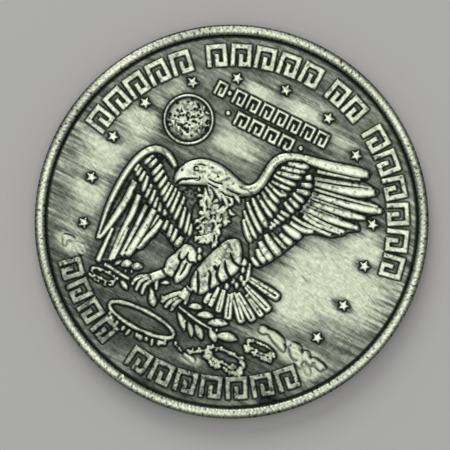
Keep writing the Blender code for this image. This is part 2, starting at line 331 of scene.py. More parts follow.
draw = random.Random(7)
lumps, pits = [], []
for count, size, marks in ((30, (0.16, 0.36), lumps), (40, (0.10, 0.26), pits)):
    for _ in range(count):
        cluster = Vector((draw.gauss(0.0, 1.15), draw.gauss(0.0, 1.15)))
        for _ in range(draw.randint(2, 4)):
            spot = cluster + Vector((draw.gauss(0, 0.24), draw.gauss(0, 0.24)))
            if spot.length < GLOBE_RADIUS - 0.38:
                reach = Vector((draw.uniform(-0.22, 0.22), draw.uniform(-0.22, 0.22)))
                marks.append(tapered(GLOBE_CENTER + spot, GLOBE_CENTER + spot + reach,
                                     draw.uniform(*size), QUILL))
bpy.ops.mesh.primitive_uv_sphere_add(segments=64, ring_count=32, radius=GLOBE_RADIUS,
                                     location=(*GLOBE_CENTER, 0))
dome = bpy.context.object
dome.scale.z = GLOBE_RISE / GLOBE_RADIUS
bpy.ops.object.transform_apply(location=True, rotation=False, scale=True)
models["globe"] = [
    dome,
    strokes([drawn(around(GLOBE_CENTER, GLOBE_RADIUS, GLOBE_RADIUS), GLOBE_LINE)], 0.05, 0.6, 2),
    strokes(lumps, GLOBE_RISE - 0.015, 0.3, 3),
]
globe_cuts = [strokes(pits, 0, 0.42, 3)]
print("globe:", len(lumps), "lumps and", len(pits), "pits")

# %% [markdown]
# ## The eagle
# The bird is built in layers, as a sculptor builds it in clay: a thin plate under each wing,
# the long quills over it, then two rows of coverts, then the arm of the wing on top. Each
# feather is one stroke: its root, its tip and its width.

# %% Plates under the wings
RIGHT_PLATE = [(0.2, 2.6), (2.4, -1.0), (3.2, -2.5), (4.3, -2.85), (5.0, -1.95), (5.7, -0.7),
               (6.4, 0.9), (6.8, 2.0), (7.7, 2.6), (9.3, 2.95), (10.3, 3.7), (10.4, 4.1),
               (11.4, 4.7), (11.4, 5.0), (10.6, 5.5), (11.5, 5.95), (11.4, 6.3), (12.6, 7.2),
               (12.7, 7.6), (10.4, 7.85), (11.4, 8.5), (11.4, 9.05), (9.6, 9.2), (10.0, 9.7),
               (9.9, 10.3), (7.0, 9.8), (4.0, 8.9), (2.2, 8.45), (1.0, 7.4), (0.8, 4.6)]
LEFT_PLATE = [(-7.2, 2.3), (-8.4, 3.0), (-9.4, 3.1), (-10.5, 2.2), (-11.2, 0.6), (-11.5, -2.0),
              (-11.25, -5.0), (-10.85, -7.4), (-10.3, -6.9), (-10.05, -7.8), (-9.95, -9.35),
              (-9.6, -9.35), (-9.4, -8.9), (-8.6, -8.65), (-8.1, -7.9), (-7.3, -7.75),
              (-7.1, -6.9), (-6.7, -6.4), (-6.5, -5.4), (-5.95, -4.6), (-5.9, -3.9),
              (-5.2, -4.0), (-4.3, -4.5), (-3.6, -4.9), (-3.1, -4.2), (-2.9, -3.2),
              (-4.0, -0.6), (-3.9, 1.0), (-6.0, 1.0), (-6.9, 1.1)]
eagle = [blocks([RIGHT_PLATE, LEFT_PLATE], 0.045, 0.03)]
print("wing plates:", len(RIGHT_PLATE), "and", len(LEFT_PLATE), "corners")

# %% The right wing
right_vanes = [((5.0, 7.3), (11.0, 8.75), 1.35), ((5.0, 6.3), (12.2, 7.38), 1.1),
               ((5.2, 5.4), (11.2, 6.05), 0.85), ((5.2, 4.55), (11.0, 4.85), 0.8),
               ((4.8, 3.6), (10.0, 3.88), 0.75), ((4.8, 3.05), (9.0, 3.12), 0.5)]
right_quills = [
    drawn([(3.6, 8.6), (5.5, 8.85), (7.8, 9.45), (9.2, 9.8), (9.75, 10.0)], 0.7, 0.9, 1.0, 1.0, 0.5),
    drawn([(5.2, 8.05), (7.2, 8.6), (9.3, 9.2)], 0.3, 0.42, 0.16),
    drawn([(5.3, 7.3), (8.0, 8.1), (10.7, 8.95)], 0.24, 0.36, 0.22),
    drawn([(5.5, 6.88), (8.4, 7.52), (10.1, 8.15), (11.1, 8.7)], 0.42, 0.78, 1.05, 0.6),
    drawn([(5.7, 6.38), (9.2, 6.97), (12.0, 7.62)], 0.22, 0.34, 0.22),
    drawn([(5.7, 5.85), (9.0, 6.38), (11.4, 6.95), (12.5, 7.4)], 0.4, 0.62, 0.76, 0.45),
    drawn([(5.7, 5.46), (8.0, 5.72), (9.9, 6.02)], 0.24, 0.34, 0.18),
    drawn([(5.7, 5.02), (8.6, 5.4), (10.4, 5.74), (11.4, 6.1)], 0.42, 0.6, 0.66, 0.3),
    drawn([(5.6, 4.7), (7.8, 4.82), (9.4, 4.95)], 0.24, 0.32, 0.18),
    drawn([(5.5, 4.3), (7.6, 4.35), (9.6, 4.6), (11.2, 4.9)], 0.42, 0.6, 0.68, 0.3),
    drawn([(5.5, 3.95), (7.2, 3.85), (9.0, 3.85), (10.2, 3.98)], 0.28, 0.36, 0.4, 0.28),
    drawn([(5.9, 3.6), (7.0, 3.42), (8.6, 3.52), (9.9, 3.72)], 0.3, 0.46, 0.42, 0.2),
    drawn([(6.3, 3.02), (7.8, 3.0), (9.15, 3.14)], 0.2, 0.34, 0.32),
    drawn([(5.0, 3.1), (6.2, 2.88), (7.2, 2.85)], 0.22, 0.3, 0.16),
    drawn([(5.1, 2.45), (6.3, 2.3), (7.0, 2.45), (7.5, 2.7)], 0.32, 0.5, 0.48, 0.3),
]
right_coverts = [
    ((2.3, 7.45), (4.35, 8.1), 0.52), ((1.9, 6.8), (4.25, 7.5), 0.46),
    ((1.7, 6.2), (4.15, 6.85), 0.46), ((1.6, 5.8), (4.0, 5.95), 0.4),
    ((1.7, 5.2), (3.75, 5.35), 0.33), ((1.5, 4.9), (3.4, 4.35), 0.33),
    ((2.9, 4.85), (3.65, 4.55), 0.3), ((1.4, 4.45), (3.3, 3.65), 0.44),
    ((1.3, 3.9), (3.55, 2.8), 0.5), ((1.1, 3.4), (3.4, 2.1), 0.44), ((0.8, 2.9), (3.35, 1.05), 0.54),
    ((0.5, 2.35), (3.1, 0.3), 0.46), ((0.6, 1.5), (2.9, -0.4), 0.42),
    ((0.9, 0.7), (2.6, -0.95), 0.46), ((4.45, 6.95), (5.05, 7.3), 0.42),
    ((4.4, 6.2), (5.45, 6.6), 0.42), ((4.25, 5.5), (5.65, 5.85), 0.44),
    ((4.1, 5.1), (5.45, 4.8), 0.42), ((4.0, 4.5), (5.25, 4.1), 0.44),
    ((3.75, 3.95), (5.0, 3.45), 0.42), ((3.75, 3.0), (4.8, 2.98), 0.34),
    ((3.65, 2.5), (4.55, 2.42), 0.32), ((3.55, 2.0), (4.25, 1.92), 0.3),
    ((3.4, 1.62), (4.05, 1.52), 0.28), ((3.45, 1.25), (3.85, 1.15), 0.28),
]
right_secondaries = [
    ((4.6, 1.95), (6.75, 1.65), 0.72), ((4.7, 1.05), (6.25, 0.7), 0.55),
    ((4.0, 0.75), (5.9, 0.05), 0.32), ((3.5, 0.35), (5.7, -0.75), 0.7),
    ((3.3, -0.5), (5.2, -1.6), 0.68), ((3.4, -1.25), (4.7, -2.1), 0.58),
    ((3.3, -2.2), (4.3, -2.65), 0.42),
]
OVERLAP = 1.22                        # neighbouring feathers are this much too wide to clear
right_arm = drawn([(-3.0, 3.3), (-1.8, 3.15), (-0.7, 3.08), (0.25, 3.42), (0.85, 4.2),
                   (0.98, 5.3), (1.02, 6.3), (1.25, 7.3), (1.95, 8.02), (3.0, 8.45), (4.4, 8.75)],
                  0.3, 0.9, 1.1, 0.9, 0.8, 0.8, 0.8, 0.7, 0.6)
eagle += [
    strokes([tapered(*vane) for vane in right_vanes], 0.035, 0.07),
    strokes(right_quills, 0.07, 0.24),
    strokes([tapered(root, tip, width * OVERLAP, bow=-0.03) for root, tip, width in right_coverts],
            0.065, 0.38),
    strokes([tapered(root, tip, width * OVERLAP, bow=-0.05)
             for root, tip, width in right_secondaries], 0.05, 0.27),
]
print("right wing:", len(right_quills) + len(right_coverts) + len(right_secondaries), "feathers")

# %% The left wing
left_vanes = [((-10.3, -0.6), (-10.55, -7.0), 0.9), ((-9.3, -1.6), (-9.05, -8.4), 0.95),
              ((-8.2, -2.2), (-8.2, -7.7), 0.8), ((-7.2, -2.2), (-7.5, -7.6), 0.95),
              ((-6.4, -2.6), (-6.9, -6.5), 0.9)]
left_quills = [
    drawn([(-10.1, -0.7), (-9.98, -2.5), (-10.2, -4.2), (-10.45, -6.0), (-10.7, -7.2)],
          0.5, 0.62, 0.6, 0.42, 0.2),
    drawn([(-9.98, -5.7), (-9.95, -7.5), (-9.85, -9.2)], 0.2, 0.4, 0.42),
    drawn([(-9.15, -1.7), (-8.88, -3.5), (-9.02, -5.0), (-9.0, -6.5), (-8.85, -8.6)],
          0.42, 0.6, 0.42, 0.3, 0.3),
    drawn([(-8.72, -5.0), (-8.62, -6.8), (-8.62, -8.4)], 0.2, 0.36, 0.28),
    drawn([(-8.05, -2.3), (-8.0, -5.0), (-8.05, -7.7)], 0.32, 0.42, 0.34),
    drawn([(-7.2, -2.3), (-7.2, -4.3), (-7.4, -6.0), (-7.58, -7.5)], 0.5, 0.72, 0.78, 0.62),
    drawn([(-6.1, -2.9), (-6.25, -4.2), (-6.75, -5.2), (-6.9, -6.4)], 0.4, 0.56, 0.5, 0.36),
    drawn([(-6.6, -2.6), (-6.65, -3.6), (-6.85, -4.6)], 0.2, 0.26, 0.14),
]
left_coverts = [
    ((-9.6, 2.35), (-10.02, 1.2), 0.28), ((-9.1, 2.15), (-9.5, 1.1), 0.34),
    ((-8.5, 1.9), (-8.87, 0.55), 0.36), ((-8.05, 1.5), (-8.42, 0.05), 0.36),
    ((-7.55, 1.1), (-7.75, -0.3), 0.34), ((-7.05, 0.7), (-7.22, -0.85), 0.34),
    ((-6.65, 0.6), (-6.72, -1.3), 0.34), ((-6.2, 0.45), (-6.2, -1.65), 0.3),
    ((-5.75, 0.3), (-5.6, -1.95), 0.34), ((-5.1, 0.1), (-5.02, -2.35), 0.32),
    ((-4.6, -0.75), (-4.15, -2.9), 0.34), ((-4.0, -1.0), (-3.5, -3.05), 0.3),
    ((-3.35, -1.9), (-3.05, -3.1), 0.28), ((-10.45, 0.95), (-10.57, 0.12), 0.27),
    ((-10.1, 0.8), (-10.2, -0.2), 0.28), ((-9.62, 0.6), (-9.7, -0.55), 0.31),
    ((-9.2, 0.3), (-8.95, -1.3), 0.34), ((-8.5, -0.25), (-8.45, -1.7), 0.3),
    ((-7.95, -0.6), (-7.82, -2.05), 0.3), ((-7.42, -1.1), (-7.28, -2.25), 0.28),
    ((-6.95, -1.45), (-6.65, -2.35), 0.3), ((-6.3, -1.85), (-5.98, -2.4), 0.32),
    ((-5.55, -2.65), (-5.5, -3.75), 0.3), ((-5.0, -2.85), (-4.78, -4.1), 0.34),
    ((-4.4, -3.0), (-4.28, -4.35), 0.36), ((-3.6, -3.45), (-3.75, -4.6), 0.5),
]
left_arm = drawn([(-7.2, 2.3), (-7.7, 2.7), (-8.4, 3.08), (-9.2, 3.2), (-10.1, 2.8), (-10.75, 1.8),
                  (-11.15, 0.4), (-11.36, -1.6), (-11.34, -3.8), (-11.12, -5.7), (-10.88, -7.3)],
                 0.34, 0.55, 0.62, 0.62, 0.56, 0.52, 0.5, 0.34, 0.16)
LEFT_OVERLAP = 1.36
eagle += [
    strokes([tapered(*vane) for vane in left_vanes], 0.035, 0.07),
    strokes(left_quills, 0.06, 0.27),
    strokes([tapered(root, tip, width * LEFT_OVERLAP) for root, tip, width in left_coverts],
            0.055, 0.42),
    strokes([left_arm], 0.06, 0.42),
]
print("left wing:", len(left_quills) + len(left_coverts), "feathers")

# %% [markdown]
# The head, the breast and both legs are pads: a closed outline, rounded, given a height and a
# broad soft edge. Cutting strokes are taken away afterwards: the mouth, the nostril, and the
# lines between the lobes of plumage. The ragged breast is a seeded scatter of small tufts.

# %% Outlines of the body
HEAD = [(-6.3, 0.85), (-6.75, 0.95), (-6.98, 1.6), (-6.82, 2.4), (-6.45, 3.2), (-5.75, 3.9),
        (-4.9, 4.33), (-3.7, 4.46), (-2.6, 4.35), (-1.5, 4.0), (-0.3, 3.8), (0.3, 3.5),
        (0.1, 2.65), (-0.7, 2.35), (-1.5, 1.9), (-2.5, 1.65), (-3.1, 1.9), (-3.7, 2.05),
        (-4.6, 1.65), (-5.8, 1.1)]
BREAST = [(-3.3, 1.9), (-2.2, 2.3), (-1.2, 1.9), (-0.8, 1.0), (-0.3, 0.5), (-0.3, -0.4),
          (-0.8, -1.3), (-1.4, -2.2), (-1.9, -2.7), (-2.3, -1.6), (-2.5, -0.6), (-2.9, 0.6)]
THIGH = [(1.16, -1.15), (0.25, -1.85), (-0.25, -3.1), (-0.7, -4.4), (-1.05, -5.9), (-1.0, -7.1),
         (-0.4, -7.7), (0.4, -7.8), (1.0, -7.1), (1.35, -6.4), (1.9, -5.6), (2.35, -4.8),
         (2.75, -4.1), (2.75, -3.3), (2.3, -2.2), (1.7, -1.4)]
LEG = [(-3.3, -4.0), (-2.5, -3.7), (-1.6, -4.1), (-1.3, -4.9), (-1.6, -5.6), (-1.4, -6.4), (-1.7, -7.2),
       (-2.15, -7.95), (-2.55, -7.3), (-3.1, -7.6), (-3.8, -7.0), (-4.0, -6.0), (-3.5, -5.2)]
print("corners of head, breast, thigh and leg:", len(HEAD), len(BREAST), len(THIGH), len(LEG))

# %% Head, ruff and toes
head = [
    drawn([(-5.75, 2.7), (-5.0, 3.0), (-4.0, 3.2), (-2.8, 3.2), (-1.6, 3.1), (-0.6, 3.1)],
          0.8, 1.6, 1.7, 1.4, 1.1, 0.7),
    drawn([(-5.6, 2.6), (-6.2, 2.3), (-6.55, 1.8), (-6.62, 1.2)], 0.8, 0.7, 0.5, 0.2),
]
ruff = [tapered(root, tip, width, LEAF, 0.1) for root, tip, width in [
    ((-2.9, 2.5), (-1.0, 1.75), 0.5), ((-2.2, 2.7), (-0.6, 2.3), 0.5), ((-3.2, 2.2), (-1.8, 1.3), 0.5),
    ((-3.6, 2.0), (-2.6, 0.9), 0.46), ((-3.8, 1.8), (-3.2, 0.4), 0.42), ((-3.4, 1.4), (-2.5, 0.1), 0.46),
    ((-3.4, 0.6), (-2.7, -0.6), 0.4), ((-1.7, 2.3), (-0.6, 1.45), 0.44),
    ((-1.3, 2.55), (-0.05, 1.85), 0.44), ((-2.1, 1.9), (-0.95, 1.0), 0.44)]]
toes = [
    drawn([(-3.4, -7.1), (-3.95, -7.8), (-4.5, -8.35)], 0.8, 0.75, 0.9),
    drawn([(-4.5, -8.2), (-5.35, -8.55), (-5.85, -9.1), (-5.85, -9.8)], 0.44, 0.42, 0.38, 0.26),
    drawn([(-4.6, -8.4), (-5.15, -8.8), (-5.35, -9.4), (-5.25, -10.15)], 0.48, 0.46, 0.42, 0.26),
    drawn([(-4.35, -8.4), (-4.65, -9.0), (-4.75, -9.5), (-4.6, -10.2)], 0.5, 0.48, 0.42, 0.26),
    drawn([(-4.1, -8.0), (-3.8, -8.55), (-3.55, -9.2)], 0.48, 0.42, 0.26),
    drawn([(-0.75, -7.5), (-0.9, -8.2), (-1.0, -8.8)], 0.6, 0.9, 1.0),
    drawn([(-1.3, -8.4), (-1.95, -8.95), (-2.4, -9.5), (-2.55, -10.05)], 0.46, 0.48, 0.44, 0.28),
    drawn([(-1.1, -8.6), (-1.65, -9.2), (-1.95, -9.75), (-2.0, -10.35)], 0.48, 0.48, 0.46, 0.3),
    drawn([(-0.9, -8.6), (-1.25, -9.2), (-1.4, -9.8), (-1.35, -10.35)], 0.5, 0.5, 0.46, 0.3),
    drawn([(-0.7, -8.1), (-0.5, -8.6), (-0.45, -9.2)], 0.46, 0.42, 0.28),
]
print("strokes of head, ruff and feet:", len(head), len(ruff), len(toes))

# %% Tufts and lobes
TUFT_COUNT = 170
draw = random.Random(19)
tufts = []
for _ in range(TUFT_COUNT):
    down, aside = draw.random(), min(draw.gauss(-0.1, 0.42), 0.85)
    center = Vector((-1.95 + 0.6 * down, 1.5 - 4.2 * down))
    center += Vector((aside * (1.9 - 1.0 * down), draw.gauss(0, 0.2)))
    lean = math.radians(-96 + 55 * aside + draw.gauss(0, 34))
    tip = center + Vector((math.cos(lean), math.sin(lean))) * draw.uniform(0.35, 0.85)
    tufts.append(tapered(center, tip, draw.uniform(0.2, 0.36), LEAF, draw.uniform(-0.3, 0.3)))
lobes = [(3.1, -3.7), (3.3, -4.5), (3.75, -4.8), (3.2, -5.3), (2.7, -5.1), (2.4, -5.8), (2.95, -3.0),
         (-1.5, -3.9), (-1.2, -4.5), (-1.5, -5.0)]
lobe_strokes = [pebble(place, 0.44, 1.5, -1.3) for place in lobes]
lobe_strokes += [tapered((3.4, -2.8), (3.95, -4.6), 0.42), tapered((2.8, -2.6), (2.9, -3.4), 0.46)]

eagle += [
    strokes(ruff, 0.09, 0.3), strokes(tufts, 0.06, 0.36),
    strokes(toes, 0.03, 0.38), strokes(lobe_strokes, 0.04, 0.4),
]
print("tufts:", len(tufts), "lobes:", len(lobe_strokes))

# %% Body pads and cuts
left_ankle, right_ankle = toes[0], toes[5]
eagle_body = [
    blocks([rounded(HEAD)], 0.17, 0.12), strokes(head, 0.1, 0.16),
    blocks([rounded(BREAST)], 0.075, 0.06), strokes([right_arm], 0.08, 0.33),
    blocks([rounded(THIGH)], 0.16, 0.13), blocks([rounded(LEG)], 0.14, 0.1),
    strokes([drawn([(1.15, -1.7), (0.9, -3.0), (0.3, -4.6), (0.0, -6.2), (-0.1, -7.1)],
                   0.7, 1.6, 1.5, 1.0, 0.5)], 0.1, 0.17),
    strokes([left_ankle, right_ankle], 0.05, 0.36),
]
eagle_cuts = [
    strokes([drawn([(-6.42, 0.9), (-6.3, 1.35), (-5.7, 1.75), (-5.1, 2.08), (-4.7, 2.3)],
                   0.12, 0.22, 0.12, 0.06, 0.0),
             drawn([(-4.95, 2.0), (-4.65, 2.08), (-4.55, 2.35), (-4.75, 2.5)], 0.0, 0.06, 0.0),
             drawn(around((-5.3, 3.05), 0.26, 0.2, 8, 1.2, 2.9), 0.0, 0.08, 0.02),
             drawn([(-5.5, 2.85), (-5.2, 2.82), (-5.0, 3.0)], 0.0, 0.05, 0.02),
             drawn([(-5.45, 3.45), (-5.1, 3.68), (-4.6, 3.72)], 0.0, 0.07, 0.0),
             drawn([(-6.6, 2.38), (-6.42, 2.22)], 0.08),
             drawn([(-3.9, 2.7), (-3.0, 2.62), (-2.4, 2.85)], 0.0, 0.06, 0.08, 0.0),
             drawn([(-3.7, 2.3), (-3.0, 2.2), (-2.6, 2.35)], 0.0, 0.07, 0.0),
             drawn([(-3.2, 3.35), (-3.0, 3.28)], 0.03), drawn([(-4.1, 3.85), (-3.85, 3.82)], 0.03),
             drawn([(-2.3, 2.15), (-1.5, 1.95), (-0.8, 2.2)], 0.0, 0.12, 0.0),
             drawn([(-1.9, 2.65), (-1.1, 2.5), (-0.4, 2.75)], 0.0, 0.08, 0.0)], 0, 0.9),
    strokes([drawn([(1.25, -2.75), (1.65, -3.2), (2.2, -3.52), (2.9, -3.5)], 0.0, 0.14, 0.16, 0.16),
             drawn([(1.1, -3.6), (1.4, -4.2), (1.95, -4.7), (2.6, -5.1)], 0.0, 0.16, 0.18, 0.2),
             drawn([(0.84, -4.2), (0.9, -5.0), (1.2, -5.55), (1.95, -5.85)], 0.05, 0.16, 0.18, 0.2),
             drawn([(0.1, -5.2), (0.4, -5.25), (0.65, -6.0), (0.92, -6.65), (1.3, -7.1)],
                   0.0, 0.12, 0.16, 0.16, 0.16),
             drawn([(-1.0, -5.7), (-0.75, -5.75), (-0.4, -6.45), (0.0, -7.05), (0.25, -7.9)],
                   0.0, 0.1, 0.14, 0.14, 0.14),
             drawn([(0.42, -4.5), (0.6, -4.75), (0.85, -4.8)], 0.1, 0.36, 0.2),
             drawn([(-3.15, -4.7), (-3.1, -5.3), (-2.75, -5.6), (-2.4, -5.3), (-2.4, -4.5)],
                   0.0, 0.12, 0.14, 0.1, 0.0),
             drawn([(-2.4, -4.9), (-2.1, -5.35), (-1.7, -5.3), (-1.3, -5.1)], 0.1, 0.12, 0.12, 0.1),
             drawn([(-2.7, -5.5), (-2.55, -6.3), (-2.65, -7.0), (-2.6, -7.5)], 0.1, 0.14, 0.14, 0.14),
             drawn([(-2.1, -5.5), (-2.0, -6.2), (-2.15, -6.9)], 0.1, 0.12, 0.02),
             drawn([(-4.2, -6.95), (-3.75, -7.25), (-3.3, -7.5), (-2.8, -7.5)], 0.12, 0.14, 0.12),
             drawn([(-1.2, -7.6), (-0.8, -7.75), (-0.3, -7.95), (0.2, -7.95)], 0.14, 0.14, 0.1)],
            0, 0.7),
]
print("body pads:", len(eagle_body), "and groups of cuts:", len(eagle_cuts))

# %% [markdown]
# A tail feather has a sunk middle between two ridges, and a round end that joins them.

# %% The tail
RIDGE_OFFSET, RIDGE_WIDTH = 0.28, 0.46     # both are shares of the feather's width
tail = [((4.0, -4.15), (7.4, -4.55), 0.88), ((4.0, -4.95), (7.15, -6.05), 0.85),
        ((4.4, -5.65), (6.75, -6.85), 0.62), ((3.6, -5.9), (6.2, -7.65), 0.85),
        ((3.2, -6.05), (5.3, -8.3), 0.8), ((3.0, -6.3), (3.9, -8.65), 0.8),
        ((2.3, -6.2), (2.75, -8.45), 0.66), ((1.75, -6.2), (1.8, -8.3), 0.5),
        ((1.25, -7.0), (1.2, -8.2), 0.5)]
tail_ridges = []
for root, tip, width in tail:
    root, tip = Vector(root), Vector(tip)
    side = Vector((root.y - tip.y, tip.x - root.x)).normalized() * width * RIDGE_OFFSET
    tail_ridges += [tapered(root + side * sign * 0.6, tip + side * sign, width * RIDGE_WIDTH)
                    for sign in (-1, 1)]
eagle += [
    strokes([tapered(root, Vector(tip) + (Vector(tip) - Vector(root)) * 0.03, width * 1.02)
             for root, tip, width in tail], 0.02, 0.16),
    strokes(tail_ridges, 0.06, 0.36),
    strokes([tapered(Vector(tip).lerp(Vector(root), 0.12), tip, width * 0.95, QUILL)
             for root, tip, width in tail], 0.06, 0.22),
]
models["eagle"] = eagle
print("tail feathers:", len(tail))

# %% [markdown]
# ## The ground
# Under the eagle lie a leafy branch and open ground with craters. A crater is an oval ring of
# uneven width, with runs of spoil on its near side and pebbles strewn along it. The far hills
# are slopes that fall away from a broken crest, each one stroke from its top to its foot.

# %% The branch
stems = [drawn([(-9.15, -9.2), (-8.6, -9.15), (-7.4, -9.35), (-6.3, -9.4)], 0.3, 0.34, 0.34, 0.28),
         drawn([(-0.9, -9.6), (0.2, -9.85), (1.6, -10.1), (3.0, -10.15)], 0.2, 0.28, 0.28, 0.2)]
leaves = [((-7.65, -8.6), (-6.75, -7.85), 0.62), ((-6.75, -8.3), (-5.65, -7.75), 0.6),
          ((-7.1, -9.9), (-6.0, -10.45), 0.42), ((-3.95, -9.75), (-3.0, -10.75), 0.68),
          ((-3.5, -8.4), (-2.6, -7.95), 0.3), ((-4.2, -9.2), (-3.4, -10.2), 0.4),
          ((-0.1, -9.25), (1.35, -8.65), 0.5), ((1.0, -9.6), (2.7, -8.95), 0.56),
          ((2.3, -9.85), (4.2, -8.95), 0.66), ((3.6, -10.55), (5.7, -9.95), 0.72),
          ((2.75, -10.3), (3.9, -11.15), 0.62), ((-0.75, -10.1), (0.7, -11.55), 0.5),
          ((0.55, -10.5), (1.6, -11.75), 0.46), ((1.25, -10.45), (2.6, -11.55), 0.6),
          ((-8.3, -8.9), (-7.7, -8.1), 0.3), ((-2.9, -9.4), (-2.2, -9.9), 0.34)]
berries = [(-7.0, -8.85), (-6.45, -8.68), (3.42, -10.02), (0.3, -10.6)]
LEAF_FULLNESS = 1.25
models["olive_branch"] = [
    strokes(stems, 0.02, 0.5),
    strokes([tapered(root, tip, width * LEAF_FULLNESS, LEAF, 0.06) for root, tip, width in leaves],
            0.025, 0.28),
    strokes([pebble(berry, 0.3) for berry in berries], 0.03, 0.5),
]
print("leaves:", len(leaves))

# %% Craters
draw = random.Random(31)
SPOIL_START, SPOIL_SWEEP = -165, 150       # degrees; the near side of a crater


def crater(center, half_width, half_height, width, roughness, steps):
    """An oval ring whose width varies by a share, called its roughness."""
    rim = around(center, half_width, half_height, steps)
    widths = [width * (1 + draw.uniform(-roughness, roughness)) for _ in rim]
    widths[-1] = widths[0]
    return [Vector(p) for p in rim], widths


def spoil(center, half_width, half_height, count, reach, width):
    """Runs of loose ground on the near side of a crater."""
    runs = []
    for i in range(count):
        angle = math.radians(SPOIL_START + SPOIL_SWEEP * (i + draw.uniform(0.2, 0.8)) / count)
        foot = Vector((center[0] + half_width * math.cos(angle),
                       center[1] + half_height * math.sin(angle) - width * 0.6))
        drop = reach * draw.uniform(0.5, 1.1)
        tip = foot + Vector((foot.x - center[0], 0)).normalized() * drop * 0.3 + Vector((0, -drop))
        runs.append(tapered(foot, tip, width * draw.uniform(0.7, 1.25), QUILL, draw.uniform(-0.1, 0.1)))
    return runs


BIG, LEFT = ((-3.5, -12.38), 3.45, 0.95), ((-8.75, -10.15), 1.28, 0.42)
NEAR, FAR = ((5.45, -12.0), 1.95, 0.62), ((7.95, -9.65), 1.45, 0.42)
rings = [crater(*BIG, 0.36, 0.2, 40), crater(*LEFT, 0.18, 0.4, 22), crater(*NEAR, 0.24, 0.4, 30),
         crater(*FAR, 0.16, 0.4, 28)]
runs = spoil(BIG[0], 3.2, 1.05, 13, 0.75, 0.42)
runs += spoil(LEFT[0], 1.3, 0.45, 7, 0.32, 0.3)
runs += spoil(NEAR[0], 2.0, 0.62, 16, 0.62, 0.4) + spoil(FAR[0], 1.45, 0.42, 12, 0.55, 0.3)
print("craters:", len(rings), "with", len(runs), "runs of spoil")

# %% Loose ground
def rubble(path, count, size, spread=0.08):
    """Lumps of loose ground along a path."""
    path = [Vector(p) for p in path]
    lumps = []
    for i in range(count):
        along = (i + draw.uniform(0.1, 0.9)) / count * (len(path) - 1)
        start, end = path[int(along)], path[int(along) + 1]
        spot = start.lerp(end, along % 1) + Vector((draw.gauss(0, spread), draw.gauss(0, spread)))
        lumps.append(pebble(spot, size * draw.uniform(0.7, 1.3), draw.uniform(1.0, 1.6),
                            draw.uniform(0, math.pi)))
    return lumps


runs += rubble(around(*LEFT, 24), 15, 0.26)
runs += rubble(around(*NEAR, 24), 24, 0.32, 0.1)
runs += rubble(around((5.45, -12.1), 1.9, 0.66, 24, math.pi, math.pi), 14, 0.34, 0.12)
runs += rubble(around(*FAR, 24), 20, 0.24)
runs += rubble(around((7.95, -9.75), 1.4, 0.45, 24, math.pi, math.pi), 10, 0.26)
runs += rubble([(1.8, -13.15), (2.8, -12.5), (3.8, -11.7)], 22, 0.24, 0.1)
runs += rubble([(0.2, -12.9), (1.1, -13.25), (1.9, -13.55)], 7, 0.22, 0.07)
models["craters"] = [strokes(rings, 0.015, 0.42, 3), strokes(runs, 0.045, 0.36)]
print("runs and pebbles:", len(runs))

# %% Hills
slopes = [((6.95, -8.05), (7.95, -8.0), 0.8), ((7.6, -7.9), (9.9, -8.2), 0.6),
          ((8.2, -8.0), (10.1, -8.85), 0.75), ((9.0, -8.15), (10.2, -9.0), 0.55),
          ((10.35, -7.95), (11.6, -7.98), 0.42), ((10.45, -8.2), (11.5, -9.2), 0.7),
          ((11.0, -8.1), (12.2, -9.3), 0.75), ((11.85, -8.15), (12.55, -8.2), 0.42),
          ((12.0, -8.4), (13.2, -9.0), 0.62), ((12.85, -8.35), (14.6, -8.7), 0.44),
          ((13.3, -8.7), (14.3, -9.0), 0.42), ((12.7, -9.35), (13.4, -10.0), 0.5),
          ((11.5, -9.35), (12.5, -9.7), 0.36), ((1.5, -13.5), (3.0, -13.8), 0.6),
          ((-14.0, -8.65), (-12.6, -8.45), 0.5), ((-13.7, -8.8), (-13.3, -9.35), 0.42),
          ((-12.7, -8.7), (-11.6, -8.6), 0.32), ((-12.6, -9.0), (-12.2, -9.5), 0.32),
          ((-12.0, -9.1), (-11.4, -9.4), 0.3), ((-11.6, -8.75), (-11.2, -9.2), 0.28)]
rocks = [strokes([tapered(top, foot, width, QUILL, 0.05) for top, foot, width in slopes], 0.04, 0.24)]
print("slopes:", len(slopes))

# %% [markdown]
# ## Pressing the sheet
# A fine square grid is dropped onto each group of forms with a Shrinkwrap modifier set to
# project straight down. Reading the grid back gives a height for every point of the face.
# The highest form wins, as in real sculpture, and a slight blur rounds every corner, because
# struck metal flows and never fills a sharp one. The bird's smooth parts and the hills are
# softened further, each inside its own outline, as wet clay would be.

# %% The sheet and its height map
PRESS_HEIGHT = 5.0          # the sheet starts this far above the field


def face_axis(pitch):
    """The places of the sheet's points along one side, with one point in the middle."""
    half = 2 * math.ceil(FIELD_RADIUS / pitch / 2) + 2
    return np.arange(-half, half + 1) * pitch


def flat_sheet(axis, first, last):
    """A grid over the points first..last of the face. Both are (column, row) pairs."""
    pitch = axis[1] - axis[0]
    columns, rows = last - first
    middle = (axis[first] + axis[last]) / 2
    bpy.ops.mesh.primitive_grid_add(x_subdivisions=int(columns), y_subdivisions=int(rows), size=1,
                                    location=(middle[0], middle[1], 0))
    sheet = bpy.context.object
    sheet.scale = (columns * pitch, rows * pitch, 1)
    bpy.ops.object.transform_apply(location=True, rotation=False, scale=True)
    return sheet


